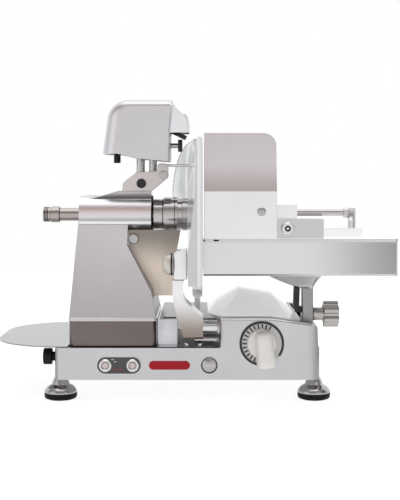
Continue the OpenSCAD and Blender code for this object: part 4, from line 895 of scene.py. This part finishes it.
arm_bm = bmesh.new()
arm_outline = [(arm_lo.x + p.x * MM, arm_lo.y, block_foot + p.y * MM)
               for p in flowing(ARM_LEFT) + flowing(ARM_RIGHT[:2]) + flowing(ARM_RIGHT[1:])]
slab(arm_bm, arm_outline, (0, arm_hi.y - arm_lo.y, 0))
bmesh.ops.remove_doubles(arm_bm, verts=arm_bm.verts, dist=1e-6)
block_x0 = arm_lo.x + 2 * MM
head = [(0, 0.8), (0, 40), (2.5, 44), (20, 47), (20, 0.8)]
slab(arm_bm, [(block_x0 + x * MM, arm_lo.y, block_foot + z * MM) for x, z in head], (0, BLOCK_DEEP, 0))
plate_back = gauge_hi.x - 4 * MM
block(arm_bm, (block_x0 + BLOCK_W - 1 * MM, arm_lo.y + 2 * MM, block_foot + 8 * MM),
      (plate_back, arm_lo.y + 27 * MM, arm_hi.z - 8 * MM))
shown_as("gauge_arm", rounded(arm_bm, 2.0, 4, outward), "gauge_arm_flow", arm_metal)

clamp_lo, clamp_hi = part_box("gauge_clamp_knob")
clamp_mid = centre("gauge_clamp_knob")
clamp_len = (clamp_hi.x - clamp_lo.x) / MM
DOME_W, DOME_R = 17, (clamp_hi.z - clamp_lo.z) / 2 / MM
clamp_profile = [(clamp_len, 0), (clamp_len, 3), (DOME_W, 3), (DOME_W, DOME_R - 1.2), (DOME_W - 1, DOME_R),
                 (DOME_W - 5, DOME_R)]
for c, s in sweep(0, 90, 12)[1:]:
    clamp_profile.append(((DOME_W - 5) * (1 - s), DOME_R * c ** 0.7 if s < 1 else 0))
clamp = turned(bmesh.new(), clamp_profile, (clamp_lo.x, clamp_mid.y, clamp_mid.z), (1, 0, 0))
clamp_finish = surface("clamp_plastic", (0.60, 0.56, 0.50), 0.08, 0.25, 0.26, 700, 0.02)
shown_as("gauge_clamp_knob", clamp, "gauge_clamp_dome", clamp_finish, smooth=60)
RIM = ring_section(DOME_W - 4.4, DOME_W - 1.6, DOME_R - 2, DOME_R + 0.35)
rim = turned(bmesh.new(), RIM, (clamp_lo.x, clamp_mid.y, clamp_mid.z), (1, 0, 0))
added_to("gauge_clamp_knob", rim, "gauge_clamp_rim", ring_black)

# Gauge rod and bush: a chromed rod with turned rings that slides in a steel
# bush in the hump's wall, pushed by the cam.
softened("gauge_rod", 0.4, chrome)
softened("gauge_rod_bush", 0.5, satin_metal)

# Recess under the gauge arm: a dark grey trough in the deck, painted shade of the shaded
# recess, with a chromed guide pin and two screws, beside a black strip that is the painted
# shadow of a narrow slot in the raised deck.
step_x = plinth_hi.x + 31 * MM
deck_z = plinth_lo.z
trough = bmesh.new()
block(trough, (step_x, DECK_STEP_Y + 18 * MM, deck_z),
      (hump_wall_x + 1 * MM, DECK_STEP_Y + 20.6 * MM, deck_z + 21 * MM))
block(trough, (step_x, DECK_STEP_Y - 30 * MM, deck_z),
      (hump_wall_x - 6 * MM, DECK_STEP_Y + 19 * MM, deck_z + 0.8 * MM))
# The dark grey trough is painted shade of the recess.
recess_painted_shade = surface("recess_painted_shade", 0.24, 0.1, 0.6, 0.25, 200, 0.1)
added_to("foot_pads", trough, "gauge_recess_shade", recess_painted_shade)
# The black strip is the painted shadow of the slot.
slot_shadow_strip = bmesh.new()
block(slot_shadow_strip, (step_x - 22 * MM, DECK_STEP_Y + 11 * MM, deck_z + 37.5 * MM),
      (step_x - 2 * MM, DECK_STEP_Y + 30 * MM, deck_z + 38.3 * MM))
added_to("foot_pads", slot_shadow_strip, "deck_slot_shadow", rubber)
pins = bmesh.new()
PIN_PROFILE = [(0, 0), (0, 3.6), (1, 4.2), (34, 4.2), (34, 0)]
turned(pins, PIN_PROFILE, (hump_wall_x - 34 * MM, DECK_STEP_Y - 12 * MM, deck_z + 8.5 * MM), (1, 0, 0))
SCREW_TOP = [(0, 0), (0, 4.2), (4, 4.2), (5, 3.2), (5, 0)]
for back in (46, 26):
    screw_foot = (hump_wall_x - back * MM, DECK_STEP_Y - 24 * MM, deck_z + 0.5 * MM)
    turned(pins, SCREW_TOP, screw_foot, (0, 0, 1), 24)
added_to("foot_bells", pins, "gauge_guide_pin", chrome)

# Rear hood: a pale folded cover that lies on the hump and slopes down to the
# operator. It keeps crumbs off the rails under it and is clipped on.
# The hood's finish glows: painted light, for light that the pale plastic passes on and against the shade of
# the table above it.
hood_plastic = surface("hood_plastic", (0.74, 0.74, 0.73), 0.06, 0, 0.5, 700, 0.02, glow=0.5)
softened("rear_hood", 1.2, hood_plastic, smooth=12)

# Carriage table: a satin aluminium tray with a deep flat skirt and a thin rolled
# lip round its top. It is bent from sheet and screwed on the bracket's head.
table_lo, table_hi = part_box("carriage_table")
# The tray darkens towards its right end as a painted reflection of the darker side of the room; the faces of
# its round front corner take the lighter edge finish instead, also a painted reflection.
table_metal = surface("table_aluminium", (0.30, 0.30, 0.305), 0.04, 1, 0.24, 1, 0, (12, 500, 500),
                      fade=("X", table_lo.x + 140 * MM, table_hi.x + 20 * MM, (0.69, 0.69, 0.70)))
TABLE_CORNER = 6 * MM
TABLE_WALL = 2.5 * MM
LIP_H, LIP_OUT = 5.2 * MM, 0.9 * MM


def table_ring(grow, z):
    """Outline of the table, grown to the front and right, at a height."""
    middle_x, middle_y = table_hi.x - TABLE_CORNER, table_lo.y + TABLE_CORNER
    radius = TABLE_CORNER + grow
    points = [(table_lo.x, table_hi.y, z), (table_lo.x, table_lo.y - grow, z)]
    points += [(middle_x + radius * c, middle_y + radius * s, z) for c, s in sweep(-90, 0, 8)]
    points.append((table_hi.x + grow, table_hi.y, z))
    return points


def opened(bm, side, limit):
    """Takes away the faces that look up, for side 1, or down, for side -1."""
    bmesh.ops.recalc_face_normals(bm, faces=bm.faces)
    lost = [face for face in bm.faces if face.normal.z * side > limit]
    bmesh.ops.delete(bm, geom=lost, context="FACES")
    return bm


def open_below(bm, wall):
    """Shell with a wall thickness, open below."""
    opened(bm, -1, 0.3)
    bmesh.ops.solidify(bm, geom=list(bm.faces), thickness=wall)
    return bm


tray_bm = bmesh.new()
slab(tray_bm, table_ring(0, table_lo.z), (0, 0, table_hi.z - table_lo.z))
tray_bm = open_below(tray_bm, TABLE_WALL)
tray_bm.normal_update()
set_apart(tray_bm, 1, lambda normal, middle: 0.3 < normal.x < 0.97 and normal.y < -0.2)
tray_obj = shown_as("carriage_table", tray_bm, "table_tray", table_metal)
edge_alu = surface("table_edge", (0.60, 0.60, 0.61), 0.04, 1, 0.26, 900, 0.01)
finishes(tray_obj, edge_alu)
lip = bmesh.new()
slab(lip, table_ring(LIP_OUT, table_hi.z - LIP_H), (0, 0, LIP_H + 0.2 * MM))
lip = rounded(lip, 0.8)
lip.normal_update()
set_apart(lip, 1, lambda normal, middle: normal.z > 0.9)
lip_obj = added_to("carriage_table", lip, "table_lip", edge_alu)
# The table top takes a near-white glowing finish: painted light.
bed_glow_metal = surface("table_top_painted_light", 0.92, 0.05, 1, 0.20, 1, 0, (12, 500, 500), glow=0.3)
finishes(lip_obj, bed_glow_metal)
lip_front = table_lo.y - LIP_OUT
pads = bmesh.new()
for start, end in ((0.3, 2.4), (15, 23)):
    block(pads, (table_lo.x + start * MM, lip_front - 0.4 * MM, table_hi.z - 3.6 * MM),
          (table_lo.x + end * MM, lip_front + 0.4 * MM, table_hi.z - 1.2 * MM))
piece(pads, "fence_pads", BODY_OF["carriage_table"], rubber)
# The hem strip along the skirt's foot is near-black at the left and lighter towards the right: a painted
# shade line.
hem_shade_metal = surface("hem_painted_shade", (0.66, 0.66, 0.67), 0.05, 1, 0.3, 900, 0.01,
                    fade=("X", table_lo.x + 60 * MM, table_lo.x + 190 * MM, (0.17, 0.165, 0.165)))
foot_line = bmesh.new()
slab(foot_line, table_ring(0.5 * MM, table_lo.z + 0.4 * MM), (0, 0, 2.4 * MM))
added_to("carriage_table", open_below(opened(foot_line, 1, 0.95), TABLE_WALL), "table_hem", hem_shade_metal)

# Carriage bracket: a tulip-shaped casting that spreads from the round-edged
# column to the table's underside. Both are one bolted arm on the rail.
bracket_lo, bracket_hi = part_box("carriage_bracket")
column_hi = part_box("carriage_column")[1]
COLUMN_DEEP = 28 * MM
column_y = centre("carriage_column").y
column_x0 = column_hi.x - 17 * MM
FLARE_STEPS = 12
tulip = bmesh.new()
tulip_rings = []
for step in range(FLARE_STEPS + 1):
    t = step / FLARE_STEPS
    z = bracket_lo.z + (table_lo.z - bracket_lo.z) * t
    left = column_x0 - 1 * MM - 61 * MM * t ** 0.75
    right = column_hi.x + 1 * MM + 11.5 * MM * min(1, t * 1.35) ** 1.5
    half = COLUMN_DEEP / 2 + 1 * MM + 14 * MM * t ** 1.2
    tulip_rings.append(soft_rect(left, right, column_y - half, column_y + half, (6 + 6 * t) * MM, z))
top_half = COLUMN_DEEP / 2 + 15 * MM
for z in (table_lo.z + 8 * MM, bracket_hi.z):
    tulip_rings.append(soft_rect(bracket_lo.x + 16 * MM, bracket_hi.x - 7 * MM, column_y - top_half,
                                 column_y + top_half, 12 * MM, z))
lofted(tulip, tulip_rings)
tulip_metal = surface("tulip_casting", (0.53, 0.53, 0.54), 0.04, 1, 0.30, 1400, 0.03)
shown_as("carriage_bracket", tulip, "carriage_tulip", tulip_metal, smooth=50)


def column_edge(edge, middle):
    """Upright edges of the column above the hump."""
    upright = abs(edge.verts[0].co.z - edge.verts[1].co.z) > 20 * MM
    return upright and edge.is_convex and middle.x > column_x0 - 0.5 * MM


# The column takes a darker copy of the bracket's casting finish: painted shade under the table.
column_shade_metal = surface("column_painted_shade", (0.30, 0.29, 0.29), 0.05, 1, 0.30, 1300, 0.03)
softened("carriage_column", 8.0, column_shade_metal, segments=6, pick=column_edge)
bronze = surface("bronze", (0.42, 0.29, 0.13), (0.06, 0.05, 0.04), 1, 0.30, 700, 0.04)
dressed(bronze, "slide_bushes")

# Column stay and lock knob: a black link beside the column, and a lobed metal
# knob whose screw clamps the carriage for transport.
black_steel = surface("black_steel", (0.020, 0.020, 0.021), (0.012, 0.012, 0.013), 0.4, 0.40, 900, 0.06)
# The stay's black finish also stands for the dark, shaded inner side of the column casting: painted shade.
softened("carriage_stay", 0.8, black_steel)
lobe_metal = surface("lobe_metal", (0.46, 0.44, 0.42), 0.07, 1, 0.22, 500, 0.03)
softened("carriage_lock_knob", 1.4, lobe_metal, segments=4, pick=outward)

# Fence: a bent stainless sheet that backs the food. It stands on the table's
# left side and is held by one domed screw on the pusher's guide.
fence_steel = surface("fence_stainless", (0.77, 0.765, 0.775), 0.05, 1, 0.20, 1, 0, (400, 400, 10))
fence_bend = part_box("fence_plate")[0].z + 70 * MM
# The leaning part takes a lighter, bluish copy of the finish that darkens to a warm grey just above the bend:
# painted reflections of the room, unlike the upright foot.
lean_steel = surface("leaning_stainless", (0.93, 0.93, 0.98), (0.03, 0.03, 0.02), 1, 0.22, 1, 0,
                     (400, 400, 10),
                     fade=("Z", fence_bend, fence_bend + 46 * MM, (0.66, 0.615, 0.605)))


def fence_half(keep_upper):
    """Part of the fence above or below its bend."""
    bm = rounded(copied("fence_plate"), 0.6)
    bmesh.ops.bisect_plane(bm, geom=list(bm.verts) + list(bm.edges) + list(bm.faces),
                           plane_co=(0, 0, fence_bend), plane_no=(0, 0, 1),
                           clear_inner=keep_upper, clear_outer=not keep_upper)
    return bm


shown_as("fence_plate", fence_half(False), "fence_foot", fence_steel, smooth=5)
added_to("fence_plate", fence_half(True), "fence_lean", lean_steel, smooth=5)
SCREW_PROFILE = [(0, 0), (0, 6.5), (1.4, 6.5), (2.4, 5.4), (3, 3.4), (3, 2.2), (1.6, 2.0), (1.6, 0)]
turned_cap("fence_screw", SCREW_PROFILE, "fence_screw_cap", satin_metal, smooth=35)

# Pusher: a chromed rod and a flat bar that slide in a milled guide block on
# the table, with a hexagon nut, an end elbow and a socket knob as brake.
guide_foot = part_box("pusher_guide")[0].z
guide_metal = surface("guide_aluminium", (0.78, 0.775, 0.79), 0.06, 1, 0.24, 900, 0.02,
                      fade=("Z", guide_foot + 28 * MM, guide_foot + 31 * MM, (0.58, 0.575, 0.585)))
bar_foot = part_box("pusher_bar")[0].z
bar_metal = surface("bar_aluminium", (0.56, 0.56, 0.55), 0.06, 1, 0.20, 900, 0.02,
                    fade=("Z", bar_foot + 12 * MM, bar_foot + 15 * MM, (0.90, 0.90, 0.91)))
softened("pusher_guide", 1.2, guide_metal, pick=outward)
softened("pusher_bar", 1.0, bar_metal, pick=outward)
softened("pusher_rod", 0.4, dark_chrome)
softened("pusher_plate", 1.2, pale_plastic, pick=outward)
lock_lo, lock_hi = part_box("pusher_lock_knob")
lock_len = (lock_hi.y - lock_lo.y) / MM
LOCK_PROFILE = [
    (0, 0), (0, 3), (lock_len - 8, 3), (lock_len - 8, 8.6), (lock_len - 7, 9.5), (lock_len - 1.4, 9.5),
    (lock_len, 8.2), (lock_len, 4.6), (lock_len - 3, 4.4), (lock_len - 3, 2.0), (lock_len - 0.6, 1.8),
    (lock_len - 0.4, 0),
]
turned_cap("pusher_lock_knob", LOCK_PROFILE, "pusher_lock_cap", bright_trim, smooth=35)
lock_mid = centre("pusher_lock_knob")
# A black ring down in the socket stands for its dark hollow: painted shade.
socket_place = (lock_mid.x, lock_lo.y + 3 * MM, lock_mid.z)
socket = turned(bmesh.new(), ring_section(0, 2.2, 1.9, 4.5), socket_place, (0, -1, 0), 32)
added_to("pusher_lock_knob", socket, "pusher_lock_socket_shade", black_steel)

# Sharpener bracket: two blasted cheeks with upright stop lugs on the saddle,
# joined by a black pivot pin and a steel stop bolt. A thin rod leaves the lug.
cheek_metal = surface("cheek_casting", (0.60, 0.565, 0.555), (0.06, 0.055, 0.055), 1, 0.40, 1300, 0.10)
softened("sharpener_bracket", 1.4, cheek_metal, pick=outward)
pins_mid = centre("bracket_pins").x


def pin_at(left):
    """The pivot pin or the stop bolt out of their shared node."""
    bm = copied("bracket_pins")
    others = [vert for vert in bm.verts if (vert.co.x < pins_mid) != left]
    bmesh.ops.delete(bm, geom=others, context="VERTS")
    return rounded(bm, 1.0)


shown_as("bracket_pins", pin_at(True), "pivot_pin", black_steel)
added_to("bracket_pins", pin_at(False), "stop_bolt", satin_metal)
lug_lo, lug_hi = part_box("sharpener_bracket")
LINK_ROD = [(-3, 0), (-3, 2.2), (42, 2.2), (42, 0)]
link = turned(bmesh.new(), LINK_ROD, (lug_hi.x, lug_lo.y + 4 * MM, lug_hi.z - 3.5 * MM), (1, 0, 0), 24)
added_to("bracket_pins", link, "stop_rod", chrome)

# Sharpener head: an arm with two posts under a deep polished cover. The cover
# is drawn from sheet, open below, with widely rounded front and back edges.
softened("sharpener_arm", 0.6, satin_metal)
cover_steel = surface("cover_stainless", (0.61, 0.60, 0.62), 0.05, 1, 0.34, 1, 0, (10, 400, 400))
cover_lo, cover_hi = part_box("sharpener_cover")
cover_mid_y = centre("sharpener_cover").y
COVER_WALL = 2.2 * MM
COVER_ROUND = 20
COVER_STEPS = 9


def drawn_shell(outline, half_depth):
    """Sheet shell, open below, over (x, z, draw in x, draw in z) points in millimetres.

    The draws are how far the front and back edges curve in from the outline.
    """
    rings = []
    for side in (-1, 1):
        turns = sweep(0, 90, COVER_STEPS)
        for c, s in (turns if side < 0 else reversed(turns)):
            y = cover_mid_y + side * (half_depth - COVER_ROUND * MM * (1 - c))
            draw = 1 - s
            rings.append([(cover_lo.x + (x + dx * draw) * MM, y, cover_lo.z + (z + dz * draw) * MM)
                          for x, z, dx, dz in outline])
    bm = bmesh.new()
    lofted(bm, rings)
    return open_below(bm, COVER_WALL)


COVER_ARC = 34
DRAW_LEFT, DRAW_TOP, DRAW_RIGHT = 24, 11, -4
cover_points = []
for c, s in sweep(172, 90, 14):
    cover_points.append((41 + COVER_ARC * c, 64 + COVER_ARC * s, -DRAW_LEFT * c, -DRAW_TOP * s))
cover_points += [
    (107, 98, 0, -DRAW_TOP), (111, 96.5, DRAW_RIGHT, -DRAW_TOP), (113, 93, DRAW_RIGHT, -6),
    (111, 76, DRAW_RIGHT, 0), (108.5, 48, DRAW_RIGHT, 0), (108, 0, DRAW_RIGHT, 0),
    (53, 5, 0, 0), (35, 10, 0, 0), (0, 12, DRAW_LEFT, 0),
]
main_shell = drawn_shell(cover_points, (cover_hi.y - cover_lo.y) / 2)
shown_as("sharpener_cover", main_shell, "sharpener_shell", cover_steel, smooth=50)
NOSE = [
    (98, 90, 0, -5), (113, 94, 0, -5), (121, 83, 0, -5), (127, 79.5, 0, -5), (134, 77, -3, -5),
    (138, 70, -5, -3), (140, 58, -5, 0), (140, 46, -5, 0), (98, 46, 0, 0),
]
nose_shell = drawn_shell(NOSE, 33 * MM)
added_to("sharpener_cover", nose_shell, "sharpener_nose", guard_steel, smooth=50)

# Sharpener wheels and lock button: two dark abrasive wheels under the cover's
# nose, one tilted for grinding and one flat for the burr, and a black button.
abrasive = surface("abrasive", (0.035, 0.033, 0.032), (0.025, 0.024, 0.023), 0, 0.85, 2200, 0.5)
softened("grinding_wheel", 0.5, abrasive)
softened("deburring_wheel", 0.5, abrasive)
softened("sharpener_button", 0.7, black_plastic)

# Receiving plate: a thin stainless tray with a wide round end that lies on the
# low deck round the tower and lifts off for washing.
plate_steel = surface("plate_stainless", (0.32, 0.325, 0.335), 0.035, 1, 0.22, 1, 0, (10, 400, 400))
plate_lo, plate_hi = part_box("receiving_plate")
PLATE_CORNER = 105 * MM
PLATE_CLEAR = 0.8 * MM
cut_x, cut_y = plinth_lo.x - PLATE_CLEAR, plinth_hi.y + PLATE_CLEAR
plate_outline = [(cut_x, plate_lo.y, plate_lo.z)]
for start, end, middle_y in ((-90, -180, plate_lo.y + PLATE_CORNER), (180, 90, plate_hi.y - PLATE_CORNER)):
    plate_outline += [(plate_lo.x + PLATE_CORNER + PLATE_CORNER * c, middle_y + PLATE_CORNER * s, plate_lo.z)
                      for c, s in sweep(start, end, 32)]
for x, y in ((plate_hi.x, plate_hi.y), (plate_hi.x, cut_y), (cut_x, cut_y)):
    plate_outline.append((x, y, plate_lo.z))
tray = bmesh.new()
slab(tray, plate_outline, (0, 0, plate_hi.z - plate_lo.z))
shown_as("receiving_plate", rounded(tray, 0.6), "receiving_tray", plate_steel)
softened("plate_clamp_knob", 1.2, black_plastic)
